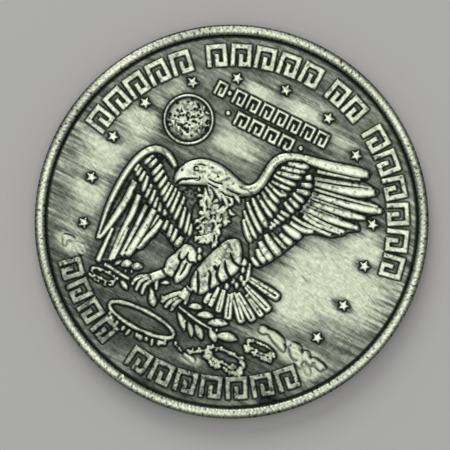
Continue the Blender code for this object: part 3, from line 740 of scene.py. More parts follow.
def pressed(things, axis):
    """The height of the forms above the field at every point of the face."""
    target = joined(things, "forms")
    points = read_points(target.data)
    pitch = axis[1] - axis[0]
    first = np.floor((points.min(axis=0)[:2] - axis[0]) / pitch).astype(int) - 1
    last = np.ceil((points.max(axis=0)[:2] - axis[0]) / pitch).astype(int) + 1
    first, last = np.clip(first, 0, len(axis) - 1), np.clip(last, 0, len(axis) - 1)
    sheet = flat_sheet(axis, first, last)
    sheet.data.transform(Matrix.Translation((0, 0, PRESS_HEIGHT)))
    press = sheet.modifiers.new("press", "SHRINKWRAP")
    press.wrap_method = "PROJECT"
    press.use_project_z = True
    press.use_negative_direction = True
    press.use_positive_direction = False
    press.target = target
    select_only(sheet)
    bpy.ops.object.modifier_apply(modifier="press")
    columns, rows = last - first + 1
    found = read_points(sheet.data)[:, 2].reshape(rows, columns)
    found = np.where(found > PRESS_HEIGHT / 2, 0, np.maximum(found, 0))
    heights = np.zeros((len(axis), len(axis)))
    heights[first[1]:last[1] + 1, first[0]:last[0] + 1] = found
    for thing in (target, sheet):
        bpy.data.objects.remove(thing)
    return heights

# %% [markdown]
# Three small helpers work on a height map: a blur that can be wider one way than the other,
# an even step between two limits, and random mottling from a seed.

# %% Blur, step and mottling
def blur(values, sigma_x, sigma_y, pitch):
    """A Gaussian blur, one direction after the other. The sigmas are in plaster units."""
    for direction, sigma in ((1, sigma_x), (0, sigma_y)):
        reach = max(1, math.ceil(3 * sigma / pitch))
        offsets = np.arange(-reach, reach + 1)
        weights = np.exp(-0.5 * (offsets * pitch / sigma) ** 2)
        weights /= weights.sum()
        margin = [(0, 0), (0, 0)]
        margin[direction] = (reach, reach)
        padded = np.pad(values, margin, mode="edge")
        size = values.shape[direction]
        values = sum(weight * np.take(padded, range(i, i + size), axis=direction)
                     for i, weight in enumerate(weights))
    return values


def smooth(low, high, values):
    """0 below low, 1 above high and an even S between. It falls when low is above high."""
    share = np.clip((values - low) / (high - low), 0, 1)
    return share * share * (3 - 2 * share)


def mottle(seed, size_x, size_y, axis):
    """Even random mottling with blotches of the given size, from about -1 to 1."""
    pitch = axis[1] - axis[0]
    noise = np.random.default_rng(seed).standard_normal((len(axis), len(axis)))
    noise = blur(noise, max(size_x, pitch / 2), max(size_y, pitch / 2), pitch)
    return np.clip(noise / noise.std() / 2, -1, 1)

# %% Striking the reverse
SOFTENING, CLAY_SOFTENING, ROCK_SOFTENING = 0.045, 0.17, 0.09
PRESENT = 0.012             # a form counts as there when it stands this far above the field
SHALLOWEST = 0.02           # a cut never goes below this height


def soft_clay(things, softening):
    """Forms that are blurred inside their own outline, like wet clay."""
    heights = pressed(things, axis)
    return np.where(heights > 0.01, blur(heights, softening, softening, PITCH), 0)


axis = face_axis(PITCH)
east, north = np.meshgrid(axis, axis)
radius = np.hypot(east, north)
raised = {name: pressed(things, axis) for name, things in models.items()}
raised["eagle"] = np.maximum(raised["eagle"], soft_clay(eagle_body, CLAY_SOFTENING))
weathered = 1 + 0.5 * mottle(22, 0.36, 0.22, axis)
raised["rocks"] = np.maximum(soft_clay(rocks, ROCK_SOFTENING) * weathered - 0.016, 0)
for name, cut in [("eagle", cut) for cut in eagle_cuts] + [("globe", cut) for cut in globe_cuts]:
    depth = pressed([cut], axis)
    raised[name] = np.where(raised[name] > 0, np.maximum(raised[name] - depth, SHALLOWEST), 0)
height = blur(np.maximum.reduce(list(raised.values())), SOFTENING, SOFTENING, PITCH)
print(f"{len(axis)} x {len(axis)} points, highest relief {height.max():.3f} of {FIELD_DROP}")

# %% [markdown]
# ## The patina
# The coin was blackened all over and then wiped with a cloth, from side to side. So the dark
# stays in grooves, at the foot of every form and in a halo round it, and the open field comes
# up bright, with a streaky edge. The amount of bright metal at each point is worked out from
# the height map and stored on the mesh as the attribute "tone", from 0, black, to 1, bright.
# It could be painted by hand, but a rule gives every groove its dark without missing one.
# The tone also holds painted shade: the relief is made darker where it stands low, and so are
# the roots of the quills where the coverts lie over them.

# %% Raised metal
CREVICE, HOLLOW = 0.13, 0.40          # widths of the small and the large dips that hold film
CREST, CREST_GAIN = 0.87, 0.15
CREVICE_LOSS, HOLLOW_LOSS, STAIN_LOSS = 0.74, 0.34, 0.34
# Painted shade: the relief is made darker wherever it stands low, on low forms and on the lower flanks of
# high ones, to model its volume.
LOW_SHARE = 0.46                      # how bright the lowest forms come up, beside the highest
BLACKEST = 0.09
FLAT_LOSS = 0.13                      # flat tops keep more film than round ones


def dips(height, width, pitch):
    """How far each point lies below its surroundings; negative on a crest."""
    return blur(height, width, width, pitch) - height


def relief_tone(height, dull, axis):
    """How much metal shows on raised forms, with painted shade where they stand low. Those in dull are
    flat on top.
    """
    pitch = axis[1] - axis[0]
    hollow = dips(height, HOLLOW, pitch)
    tone = CREST + CREST_GAIN * smooth(0.005, 0.045, -hollow)
    tone -= CREVICE_LOSS * smooth(-0.001, 0.012, dips(height, CREVICE, pitch))
    tone -= HOLLOW_LOSS * smooth(0.0, 0.045, hollow)
    # Painted shade: darker where the relief stands low.
    tone *= LOW_SHARE + (1 - LOW_SHARE) * smooth(0.045, 0.085, height)
    tone = BLACKEST + (1 - BLACKEST) * np.maximum(tone, 0) - FLAT_LOSS * dull
    tone += 0.11 * mottle(3, 0.09, 0.09, axis) + 0.06 * mottle(7, 0.3, 0.3, axis)
    tone -= 0.30 * smooth(0.45, 1.0, mottle(4, 0.11, 0.11, axis))
    stained = smooth(0.0, 0.6, mottle(12, 0.7, 0.7, axis))
    return tone - STAIN_LOSS * stained * smooth(0.0, 0.7, mottle(13, 0.07, 0.07, axis))

# %% [markdown]
# The open field is a film that lets some metal through, and bright patches where the cloth
# pressed. A black line follows the foot of every form. Outside it the cloth skips a little
# further, more to the sides than up and down, because that is the way it was drawn.

# %% The open field
FILM, OPEN_METAL, FOOT_LINE = 0.56, 0.84, 0.09
CROWDED_LOSS, STAR_LOSS = 0.12, 0.30
FAINT_WALL, DULL_WALL = 0.97, 0.5     # how much less black line these forms have


def patches(spots, axis):
    """Soft ovals. Each spot is ((x, y), half width, half height, strength)."""
    east, north = np.meshgrid(axis, axis)
    total = np.zeros_like(east)
    for (x, y), half_width, half_height, strength in spots:
        away = np.hypot((east - x) / half_width, (north - y) / half_height)
        total = np.maximum(total, strength * (1 - smooth(0.35, 1.25, away)))
    return total


def field_tone(height, cover, axis, wipes, faint, dull, shaded, ground_darkening):
    """How much metal shows between the forms. Those in faint rise so gently that they have no
    black foot. Those in shaded stand alone, with a wider dark patch round them."""
    pitch = axis[1] - axis[0]
    radius = np.hypot(*np.meshgrid(axis, axis))
    steep = cover * (1 - FAINT_WALL * faint - DULL_WALL * dull)
    walls = np.maximum(steep, smooth(FIELD_RADIUS - 0.10, FIELD_RADIUS, radius))
    foot = FOOT_LINE + (1 - FOOT_LINE) * (1 - smooth(0.02, 0.27, blur(walls, 0.13, 0.13, pitch)))
    halo = 1 - smooth(0.03, 0.34, blur(walls + 1.6 * shaded, 0.62, 0.28, pitch))
    crowd = smooth(0.10, 0.55, blur(cover, 1.1, 0.9, pitch))
    streak = mottle(5, 1.3, 0.06, axis)
    cloud = mottle(8, 1.5, 0.45, axis)

    # Bright patches with a streaky edge.
    wiped_clean = np.clip(patches(wipes, axis) * 1.25, 0, 1) * (0.25 + 0.75 * halo)
    edge = 4 * wiped_clean * (1 - wiped_clean)
    wiped_clean = np.clip(wiped_clean + 0.30 * edge * streak + 0.18 * edge * cloud, 0, 1)
    film = FILM - CROWDED_LOSS * crowd + 0.15 * streak + 0.07 * cloud
    film += 0.07 * mottle(9, 0.5, 0.2, axis)
    film -= STAR_LOSS * smooth(0.04, 0.36, blur(shaded, 0.55, 0.34, pitch)) + ground_darkening
    tone = film + (OPEN_METAL - film) * wiped_clean + 0.06 * mottle(6, 0.09, 0.09, axis)

    # A faint form is bright, with a dark line only along its far side.
    far_side = smooth(0.0, 0.10, -np.gradient(blur(height, CREVICE, CREVICE, pitch), pitch, axis=0))
    near_faint = smooth(0.03, 0.3, blur(faint, 0.15, 0.15, pitch))
    tone = np.maximum(tone, (0.90 + 0.08 * cloud) * blur(faint, 0.12, 0.12, pitch))
    tone -= smooth(-0.001, 0.012, dips(height, CREVICE, pitch)) * near_faint * (0.10 + 0.52 * far_side)
    return 0.04 + (tone - 0.04) * foot

# %% [markdown]
# The two are put together where each applies, and stains and some painted shade are laid over
# both. Below the horizon both are made darker, towards the bottom of the face. Bright patches,
# stains and painted shade are listed by their places on the face, as soft ovals.

# %% Wiping, stains and painted shade
GROUND_DARKENING, GROUND_LOSS = 0.07, 0.18
NO_GROUND = -2 * COIN_RADIUS          # a horizon that lies off the coin


def wiped(height, cover, axis, wipes, stains_and_shade, faint, dull, shaded, horizon=NO_GROUND):
    """How much metal shows at every point of a face, with painted shade in it. wipes, and the stains and
    painted shade, are spots.
    """
    pitch = axis[1] - axis[0]
    _, north = np.meshgrid(axis, axis)
    # Relief and field are both made darker below the horizon, towards the bottom of the face.
    relief = relief_tone(height, dull, axis) - GROUND_LOSS * smooth(horizon, horizon - 4.0, north)
    ground_darkening = GROUND_DARKENING * smooth(horizon + 1.5, horizon - 1.0, north)
    field = field_tone(height, cover, axis, wipes, faint, dull, shaded, ground_darkening)
    on_relief = smooth(0.35, 0.65, blur(cover, 0.035, 0.035, pitch)) * (1 - faint)
    speckle = 0.4 + 0.9 * smooth(-0.2, 0.6, mottle(14, 0.08, 0.08, axis))
    # Stains and painted shade are taken off both, broken up by speckle.
    return np.clip(field + (relief - field) * on_relief - patches(stains_and_shade, axis) * speckle, 0, 1)


def covered_by(raised, *names):
    """1 where any of the named groups of forms stands, 0 elsewhere."""
    return (np.maximum.reduce([raised[name] for name in names]) > PRESENT).astype(float)


WIPES = [((11.4, -1.0), 6.0, 4.4, 0.98), ((12.6, 2.8), 2.8, 3.0, 0.8), ((8.4, -4.2), 4.2, 3.0, 0.85),
         ((-14.1, 0.9), 2.6, 3.4, 0.76), ((-13.4, -3.4), 2.2, 2.4, 0.66), ((-12.0, 5.2), 2.4, 3.2, 0.7),
         ((-10.6, 9.3), 1.6, 2.0, 0.45), ((-3.2, 6.7), 3.2, 1.5, 0.66), ((-3.6, 12.3), 2.8, 1.0, 0.7),
         ((2.0, 12.5), 3.2, 1.0, 0.8), ((6.2, 11.3), 2.2, 1.0, 0.6), ((-13.0, -7.0), 2.2, 0.9, 0.4),
         ((10.5, -8.7), 4.8, 1.3, 1.0), ((13.0, -9.6), 1.6, 1.2, 0.9), ((-12.9, -8.8), 2.0, 1.0, 1.0),
         ((2.3, -13.6), 1.3, 0.55, 0.95)]
# Stains and painted shade: the spots at (5.7, 6.0) and (-8.3, -2.6), at the roots of the quills beside
# the coverts, are painted shade where the coverts lie over the quills; the others are stains on the
# metal.
STAINS_AND_SHADE = [((0.8, -2.5), 1.4, 1.7, 0.32), ((-1.7, -0.4), 1.4, 2.2, 0.07), ((-0.3, -5.7), 1.2, 1.8, 0.2),
          ((-0.9, 3.0), 1.5, 0.8, 0.14), ((11.2, -14.0), 1.3, 0.9, 0.7), ((-3.0, -5.6), 0.9, 1.8, 0.16),
          ((5.7, 6.0), 0.9, 2.8, 0.24), ((-8.3, -2.6), 2.6, 0.8, 0.16)]
tone = wiped(height, covered_by(raised, *raised), axis, WIPES, STAINS_AND_SHADE, covered_by(raised, "rocks"),
             covered_by(raised, "legend_fret"), covered_by(raised, "stars"), horizon=-7.6)
print(f"bright {np.mean(tone[radius < FIELD_RADIUS] > 0.7):.0%}, "
      f"dark {np.mean(tone[radius < FIELD_RADIUS] < 0.3):.0%} of the face")

# %% [markdown]
# ## Reducing to the coin
# Each device is lifted off the pressed sheet as its own closed piece: the squares that do not
# belong to it are deleted, its open edge is pulled down into the field and filled. Squares
# that touch only at a corner are left out first, because their walls would share an edge.

# %% Closing a piece
MOST_ROUNDS = 20


def without_pinches(cells):
    """Leaves out squares that touch only at a corner, which would not close."""
    cells = cells.copy()
    for _ in range(MOST_ROUNDS):
        a, b, c, d = cells[:-1, :-1], cells[:-1, 1:], cells[1:, :-1], cells[1:, 1:]
        first, second = a & d & ~b & ~c, b & c & ~a & ~d
        if not (first.any() or second.any()):
            break
        cells[1:, 1:] &= ~first
        cells[1:, :-1] &= ~second
    return cells


def store(mesh, name, values):
    """Keeps a number for each point on the mesh, for the material to read."""
    attribute = mesh.attributes.new(name, "FLOAT", "POINT")
    attribute.data.foreach_set("value", np.ascontiguousarray(values, dtype=np.float32).ravel())


def lifted(name, axis, cells, height, tone, floor):
    """A closed piece: the given squares of the sheet on top, straight walls, a flat base."""
    cells = without_pinches(cells)
    used_rows, used_columns = np.where(cells.any(axis=1))[0], np.where(cells.any(axis=0))[0]
    first = np.array([used_columns[0], used_rows[0]])
    last = np.array([used_columns[-1], used_rows[-1]]) + 1
    window = (slice(first[1], last[1] + 1), slice(first[0], last[0] + 1))
    sheet = flat_sheet(axis, first, last)
    points = read_points(sheet.data)
    points[:, 2] = height[window].ravel()
    write_points(sheet.data, points)
    store(sheet.data, "tone", tone[window])
    store(sheet.data, "flatness", np.ones_like(tone[window]))
    keep = cells[first[1]:last[1], first[0]:last[0]]
    sheet.data.polygons.foreach_set("select", ~keep.ravel())
    sheet.data.edges.foreach_set("select", np.zeros(len(sheet.data.edges), dtype=bool))
    sheet.data.vertices.foreach_set("select", np.zeros(len(sheet.data.vertices), dtype=bool))
    select_only(sheet)
    bpy.ops.object.mode_set(mode="EDIT")
    bpy.ops.mesh.select_mode(type="FACE")
    bpy.ops.mesh.delete(type="FACE")
    bpy.ops.mesh.select_mode(type="EDGE")
    bpy.ops.mesh.select_non_manifold(use_wire=False, use_multi_face=False,
                                     use_non_contiguous=False, use_verts=False)
    bpy.ops.mesh.extrude_region_move(TRANSFORM_OT_translate={"value": (0, 0, 0)})
    bpy.ops.transform.resize(value=(1, 1, 0), center_override=(0, 0, floor))
    bpy.ops.mesh.fill(use_beauty=False)
    bpy.ops.mesh.select_all(action="SELECT")
    bpy.ops.mesh.normals_make_consistent(inside=False)
    bpy.ops.object.mode_set(mode="OBJECT")
    sheet.name = name
    return sheet

# %% [markdown]
# A device takes the squares where its own cover, a little blurred, is the strongest. Counting
# how many of its squares meet at a point tells its inside from its edge.

# %% Which squares belong to a piece
def square_mean(points):
    """The mean of each square's four corners."""
    return (points[:-1, :-1] + points[:-1, 1:] + points[1:, :-1] + points[1:, 1:]) / 4


def corners_inside(cells):
    """How many of the four squares round each point are in the set."""
    count = np.zeros((cells.shape[0] + 1, cells.shape[1] + 1), dtype=int)
    for rows in (slice(0, -1), slice(1, None)):
        for columns in (slice(0, -1), slice(1, None)):
            count[rows, columns] += cells
    return count


def shrunk(points):
    """The set of points without its outermost ring."""
    inner = points.copy()
    for step in (1, -1):
        inner &= np.roll(points, step, axis=0) & np.roll(points, step, axis=1)
    return inner

# %% [markdown]
# The field is a plain disc that dips out of the way under every device. On the reverse it has
# twice the pitch, because a flat disc needs fewer points. Each finished piece is then made a
# thousand times smaller and set at its height in the coin.

# %% Cutting out a face
PIECE_FLOOR = -0.16                 # how far a device reaches down into the field
EDGE_SINK = 0.008                   # its edge dips this far under the field's surface
HIDDEN_DIP = -0.06                  # and the field dips this far under its middle
APRON, LEAST_SHARE = 0.075, 0.03    # a device is cut out this far beyond its own foot
RIM_LAP, BOND_LAP = 0.06, 0.01      # the field ends under the rim, and just above the bond


def placed(piece, turn_over=False):
    """Reduces a finished piece to metres and sets it at its height in the coin."""
    place = Matrix.Scale(MM, 4) @ Matrix.Translation((0, 0, FIELD_HEIGHT))
    if turn_over:
        place = Matrix.Translation((0, 0, COIN_THICKNESS * MM)) @ Matrix.Rotation(math.pi, 4, "X") @ place
    piece.data.transform(place)
    select_only(piece)
    bpy.ops.object.shade_smooth_by_angle(angle=math.radians(55))
    return piece


def struck(prefix, raised, height, tone, axis, field_step=2, turn_over=False):
    """The field and every device of one face, as placed pieces."""
    pitch = axis[1] - axis[0]
    radius = np.hypot(*np.meshgrid(axis, axis))
    reach = {name: square_mean(blur(covered_by(raised, name), APRON, APRON, pitch)) for name in raised}
    most = np.maximum.reduce(list(reach.values()))
    pieces = []
    covered = np.zeros(height.shape, dtype=bool)
    for name, share in reach.items():
        cells = (share == most) & (share > LEAST_SHARE)
        around_point = corners_inside(cells)
        covered |= around_point == 4
        settled = height - EDGE_SINK * ((around_point > 0) & (around_point < 4))
        piece = lifted(name, axis, cells, settled, tone, PIECE_FLOOR)
        pieces.append(placed(piece, turn_over))
        print(f"{name}: {len(piece.data.polygons)} faces")
    hidden = shrunk(shrunk(shrunk(covered)))
    coarse = slice(None, None, field_step)
    field = np.where(hidden, HIDDEN_DIP, 0.0)[coarse, coarse]
    disc = square_mean(radius[coarse, coarse]) < FIELD_RADIUS + RIM_LAP
    base = lifted(prefix + "_field", axis[coarse], disc, field, tone[coarse, coarse],
                  BOND_HIGH + BOND_LAP - FIELD_HEIGHT)
    pieces.append(placed(base, turn_over))
    print(f"{prefix}_field: {len(base.data.polygons)} faces")
    return pieces


reverse_pieces = struck("reverse", raised, height, tone, axis)

# %% [markdown]
# ## The rim and the reeds
# The upset rim and the collar's reeds run all the way round, so they are turned: one section
# is spun about the coin's axis. The reeds are then cut by drawing the outer wall inwards with
# a cosine of the angle, eight steps to a reed. Years of handling show as small dents in the
# rim's crown, one deeper nick, and a frayed inner edge beside it.

# %% Turning a ring
RING_STEPS = REED_COUNT * 8
RIM_SECTION = [(17.84, -0.14), (17.84, -0.03), (17.93, 0.004), (17.99, 0.035), (18.05, 0.10),
               (18.11, 0.17), (18.19, 0.225), (18.29, 0.264), (18.42, 0.285), (18.56, 0.29),
               (18.68, 0.282), (18.79, 0.258), (18.88, 0.215), (18.95, 0.155), (19.0, 0.08),
               (19.03, 0.0), (19.045, -0.09), (19.05, -0.18), (19.05, -0.3)]


def turned(name, section):
    """Spins a closed section, given as radius and height above the field, into a ring."""
    bpy.ops.mesh.primitive_circle_add(vertices=len(section))
    ring = bpy.context.object
    ring.name = name
    write_points(ring.data, np.array([(r, 0, z) for r, z in section]))
    bpy.ops.object.mode_set(mode="EDIT")
    bpy.ops.mesh.select_all(action="SELECT")
    bpy.ops.mesh.spin(steps=RING_STEPS, angle=2 * math.pi, center=(0, 0, 0), axis=(0, 0, 1))
    bpy.ops.mesh.select_all(action="SELECT")
    bpy.ops.mesh.remove_doubles(threshold=0.0005)
    bpy.ops.mesh.normals_make_consistent(inside=False)
    bpy.ops.object.mode_set(mode="OBJECT")
    return ring

# %% [markdown]
# Wear runs round the ring as a sum of waves. Each goes round a whole number of times, so it
# meets itself with no seam. The reeds fade out where the wall turns into the crown.

# %% Wear and reeds
RING_REACH = 19             # the radius at which a wave's slant is measured


def ring_noise(angle, across, seed, waves, scale):
    """A sum of waves round the ring that meets itself, from about -1 to 1."""
    draw = np.random.default_rng(seed)
    total = np.zeros_like(angle)
    for _ in range(waves):
        turns = draw.integers(scale // 3, scale)
        phase, slant = draw.uniform(0, 6.28), draw.uniform(-1, 1)
        total += np.sin(turns * angle + phase + slant * scale / RING_REACH * across)
    return np.clip(total / math.sqrt(waves), -1.6, 1.6)


REED_SHARPNESS, REED_FADE, WALL = 1.6, 0.12, 0.06


def reeded(ring, top):
    """Draws the outer wall in between the reeds, and returns how deep each point went."""
    points = read_points(ring.data)
    angle = np.arctan2(points[:, 1], points[:, 0])
    reach = np.hypot(points[:, 0], points[:, 1])
    groove = (0.5 - 0.5 * np.cos(REED_COUNT * angle)) ** REED_SHARPNESS
    groove *= smooth(top, top - REED_FADE, points[:, 2]) * (reach > COIN_RADIUS - WALL)
    points[:, :2] *= (1 - REED_DEPTH * groove / reach)[:, None]
    write_points(ring.data, points)
    return groove

# %% The two rims
NICK_DEPTH, NICK_WIDTH, FRAY_DEPTH = 0.15, 0.5, 0.06      # the width is in degrees
WEAR_DEPTH, DENT_DEPTH = 0.002, 0.03


def rim(name, seed, nick_angle=None, turn_over=False):
    """One face's rim, worn and dented by seeded noise."""
    bottom = BOND_HIGH - FIELD_HEIGHT
    ring = turned(name, RIM_SECTION + [(COIN_RADIUS, bottom), (17.84, bottom)])
    points = read_points(ring.data)
    angle = np.arctan2(points[:, 1], points[:, 0])
    reach = np.hypot(points[:, 0], points[:, 1])
    crown = smooth(18.0, 18.3, reach) * smooth(19.04, 18.8, reach) * (points[:, 2] > -0.05)
    wear = ring_noise(angle, reach, seed, 40, 220)
    dents = np.maximum(ring_noise(angle, reach, seed + 1, 40, 300) - 1.1, 0)
    points[:, 2] -= crown * (WEAR_DEPTH * (1 + wear) + DENT_DEPTH * dents)
    if nick_angle is not None:
        away = np.degrees(np.angle(np.exp(1j * (angle - math.radians(nick_angle)))))
        points[:, 2] -= NICK_DEPTH * crown * np.exp(-(away / NICK_WIDTH) ** 2)
        frayed = smooth(-1, 1, away) * smooth(48, 30, away) * smooth(18.35, 18.05, reach)
        points[:, 2] -= frayed * crown * FRAY_DEPTH * (1 + ring_noise(angle, reach, seed + 2, 20, 700))
    write_points(ring.data, points)
    groove = reeded(ring, 0.02)
    # Dark patina at the inner foot of the rim. The outer slope, towards the edge, is made darker as
    # painted shade.
    tone = smooth(17.96, 18.17, reach) * (0.86 - 0.44 * smooth(18.74, 19.02, reach))
    tone += 0.12 * ring_noise(angle, reach, seed + 3, 60, 420)
    tone += 0.06 * ring_noise(angle, reach, seed + 5, 8, 12)
    tone -= 0.6 * np.maximum(ring_noise(angle, reach, seed + 4, 60, 260) - 0.8, 0) + 0.6 * dents
    tone = np.where(reach > COIN_RADIUS - 0.25, tone - 0.5 * groove, tone)
    store(ring.data, "tone", np.clip(tone, 0, 1))
    store(ring.data, "flatness", np.zeros(len(points)))
    return placed(ring, turn_over)


reverse_rim = rim("reverse_rim", 11, nick_angle=261)
obverse_rim = rim("obverse_rim", 47, turn_over=True)
print("rims:", len(reverse_rim.data.polygons), "faces each")

# %% [markdown]
# The copper core only shows as a band in the edge, so it is turned as a ring with the same
# reeds, pulled in by a hair where the layers meet, because soft copper is burnished back.

# %% The core
CORE_INSIDE = 1.6           # the band is a ring this deep; the rest of the core never shows


def core():
    """The copper band, a hair inside the cladding where the layers meet."""
    low, high = CORE_LOW - FIELD_HEIGHT, CORE_HIGH - FIELD_HEIGHT
    edge = COIN_RADIUS
    section = [(edge - CORE_INSIDE, high), (edge - 0.05, high), (edge - 0.012, high - 0.03)]
    section += [(edge - 0.004, high + (low - high) * share) for share in (0.12, 0.35, 0.65, 0.88)]
    section += [(edge - 0.012, low + 0.03), (edge - 0.05, low), (edge - CORE_INSIDE, low)]
    band = turned("core_band", section)
    groove = reeded(band, high + 1)
    points = read_points(band.data)
    angle = np.arctan2(points[:, 1], points[:, 0])
    tone = 0.75 - 0.6 * groove + 0.12 * ring_noise(angle, points[:, 2] * 3, 5, 20, 300)
    store(band.data, "tone", np.clip(tone, 0, 1))
    store(band.data, "flatness", np.zeros(len(points)))
    return placed(band)


core_band = core()
print("core band:", len(core_band.data.polygons), "faces")

# %% [markdown]
# ## The obverse
# The face that the coin lies on is a plain star in a laurel wreath, inside a ring of beads.
# It goes through the same steps as the reverse, on a coarser sheet, and is then turned over.

# %% Wreath, star and beads
WREATH_RADIUS, WREATH_PAIRS, LEAF_WIDTH = 11.5, 13, 0.85
BEAD_RING, BEAD_SIZE, BEAD_STEP = 16.9, 0.5, math.radians(3)
BIG_STAR_RADIUS, BIG_STAR_RISE, BIG_STAR_WAIST = 6.8, 0.25, 0.42
wreath_stems, wreath_leaves = [], []
for side in (-1, 1):
    sweep = [math.radians(-90 + side * (4 + 150 * i / 24)) for i in range(25)]
    wreath_stems.append(drawn([(WREATH_RADIUS * math.cos(a), WREATH_RADIUS * math.sin(a))
                               for a in sweep], 0.5, 0.36, 0.2))
    for i in range(WREATH_PAIRS):
        angle = -90 + side * (10 + 145 * i / (WREATH_PAIRS - 1))
        foot = Matrix.Rotation(math.radians(angle), 2) @ Vector((WREATH_RADIUS, 0))
        for lean in (-1.5, 0.25, 1.6):
            far = math.radians(angle + side * (9.5 if abs(lean) > 1 else 11.5))
            tip = Vector((math.cos(far), math.sin(far))) * (WREATH_RADIUS + lean)
            bow = 0.08 * side * (1 if lean < 0 else -1)
            wreath_leaves.append(tapered(foot, tip, LEAF_WIDTH, LEAF, bow))
bead_ring = [pebble((BEAD_RING * math.cos(a), BEAD_RING * math.sin(a)), BEAD_SIZE)
             for a in np.arange(0, 2 * math.pi, BEAD_STEP)]
bpy.ops.mesh.primitive_cone_add(vertices=10, radius1=BIG_STAR_RADIUS, radius2=0, depth=BIG_STAR_RISE,
                                location=(0, 0, 0.1))
star = bpy.context.object
for corner in star.data.vertices:
    if corner.co.z < 0:
        point = round((math.degrees(math.atan2(corner.co.y, corner.co.x)) - 90) / 36)
        corner.co.xy *= BIG_STAR_WAIST if point % 2 else 1
bpy.ops.object.transform_apply(location=True, rotation=False, scale=False)
obverse_models = {
    "obverse_wreath": [strokes(wreath_stems, 0.02, 0.5), strokes(wreath_leaves, 0.03, 0.34)],
    "obverse_beads": [strokes(bead_ring, 0.0, 0.45, 3)],
    "obverse_star": [star],
}
print("wreath leaves:", len(wreath_leaves), "beads:", len(bead_ring))

# %% Striking the obverse
COARSE_PITCH, COARSE_SOFTENING = 0.11, 0.07
coarse_axis = face_axis(COARSE_PITCH)
obverse_raised = {name: pressed(things, coarse_axis) for name, things in obverse_models.items()}
obverse_height = blur(np.maximum.reduce(list(obverse_raised.values())), COARSE_SOFTENING,
                      COARSE_SOFTENING, COARSE_PITCH)
OBVERSE_WIPES = [((-6.0, 3.4), 4.6, 2.4, 0.9), ((6.2, -2.6), 4.8, 2.6, 0.95),
                 ((2.4, 7.8), 4.4, 1.7, 0.7), ((-3.6, -7.2), 4.8, 1.9, 0.8),
                 ((14.2, 1.4), 2.4, 4.6, 0.8), ((-14.3, -1.2), 2.2, 4.0, 0.75),
                 ((0.5, 14.2), 4.0, 1.2, 0.6)]
nowhere = np.zeros_like(obverse_height)
obverse_tone = wiped(obverse_height, covered_by(obverse_raised, *obverse_raised), coarse_axis,
                     OBVERSE_WIPES, [], nowhere, nowhere, nowhere)
obverse_pieces = struck("obverse", obverse_raised, obverse_height, obverse_tone, coarse_axis,
                        field_step=1, turn_over=True)
print(f"highest obverse relief {obverse_height.max():.3f} of {FIELD_DROP}")

# %% [markdown]
# ## Finishes
# Cupronickel is three parts copper to one of nickel, a slightly warm white metal. Chemical
# blackening leaves a matt, greenish black film on it, and wiping polishes the film away. One
# node graph serves every surface: the "tone" attribute says how much metal shows, painted shade
# included, and fine noise breaks it into brush streaks, scratches that cross them, and grain.
# The "flatness" attribute keeps streaks and scratches off the rims and the edge, where no cloth
# ran straight.

# %% Colour and node helpers
def linear(hex_color):
    """An sRGB hex colour as the linear colour that a shader takes."""
    channels = [int(hex_color[i:i + 2], 16) / 255 for i in (1, 3, 5)]
    return [c / 12.92 if c <= 0.04045 else ((c + 0.055) / 1.055) ** 2.4 for c in channels] + [1]


def add_node(tree, kind, settings=None, links=None):
    """Adds a node, sets its properties, sockets or colour stops, and links its inputs."""
    node = tree.nodes.new("ShaderNode" + kind)
    for key, value in (settings or {}).items():
        if key == "stops":
            stops = node.color_ramp.elements
            while len(stops) < len(value):
                stops.new(0.5)
            for stop, (position, hex_color) in zip(stops, value):
                stop.position = position
                stop.color = linear(hex_color)
        elif isinstance(key, str) and hasattr(node, key):
            setattr(node, key, value)
        else:
            node.inputs[key].default_value = value
    for key, socket in (links or {}).items():
        tree.links.new(socket, node.inputs[key])
    return node


def new_material(name):
    """An empty material and its node tree."""
    material = bpy.data.materials.new(name)
    material.use_nodes = True
    tree = material.node_tree
    tree.nodes.clear()
    return material, tree

# %% Antiqued cupronickel
# Lengths and widths are in millimetres. The hairlines that a cloth leaves are too fine to show
# in the render, so streaks, scratches and grain are drawn as coarse as they need to be to show.
STREAK_LENGTH, STREAK_WIDTH = 2.6, 0.10
SCRATCH_LENGTH, SCRATCH_WIDTH, SCRATCH_TURN = 1.6, 0.07, math.radians(-24)
GRAIN = 0.16
CUPRONICKEL_STOPS = [(0.0, "#0E120B"), (0.2, "#31362C"), (0.4, "#5A6054"), (0.6, "#878C7E"),
                     (0.8, "#B8BDA7"), (0.9, "#CED2B9"), (1.0, "#E4E8D2")]


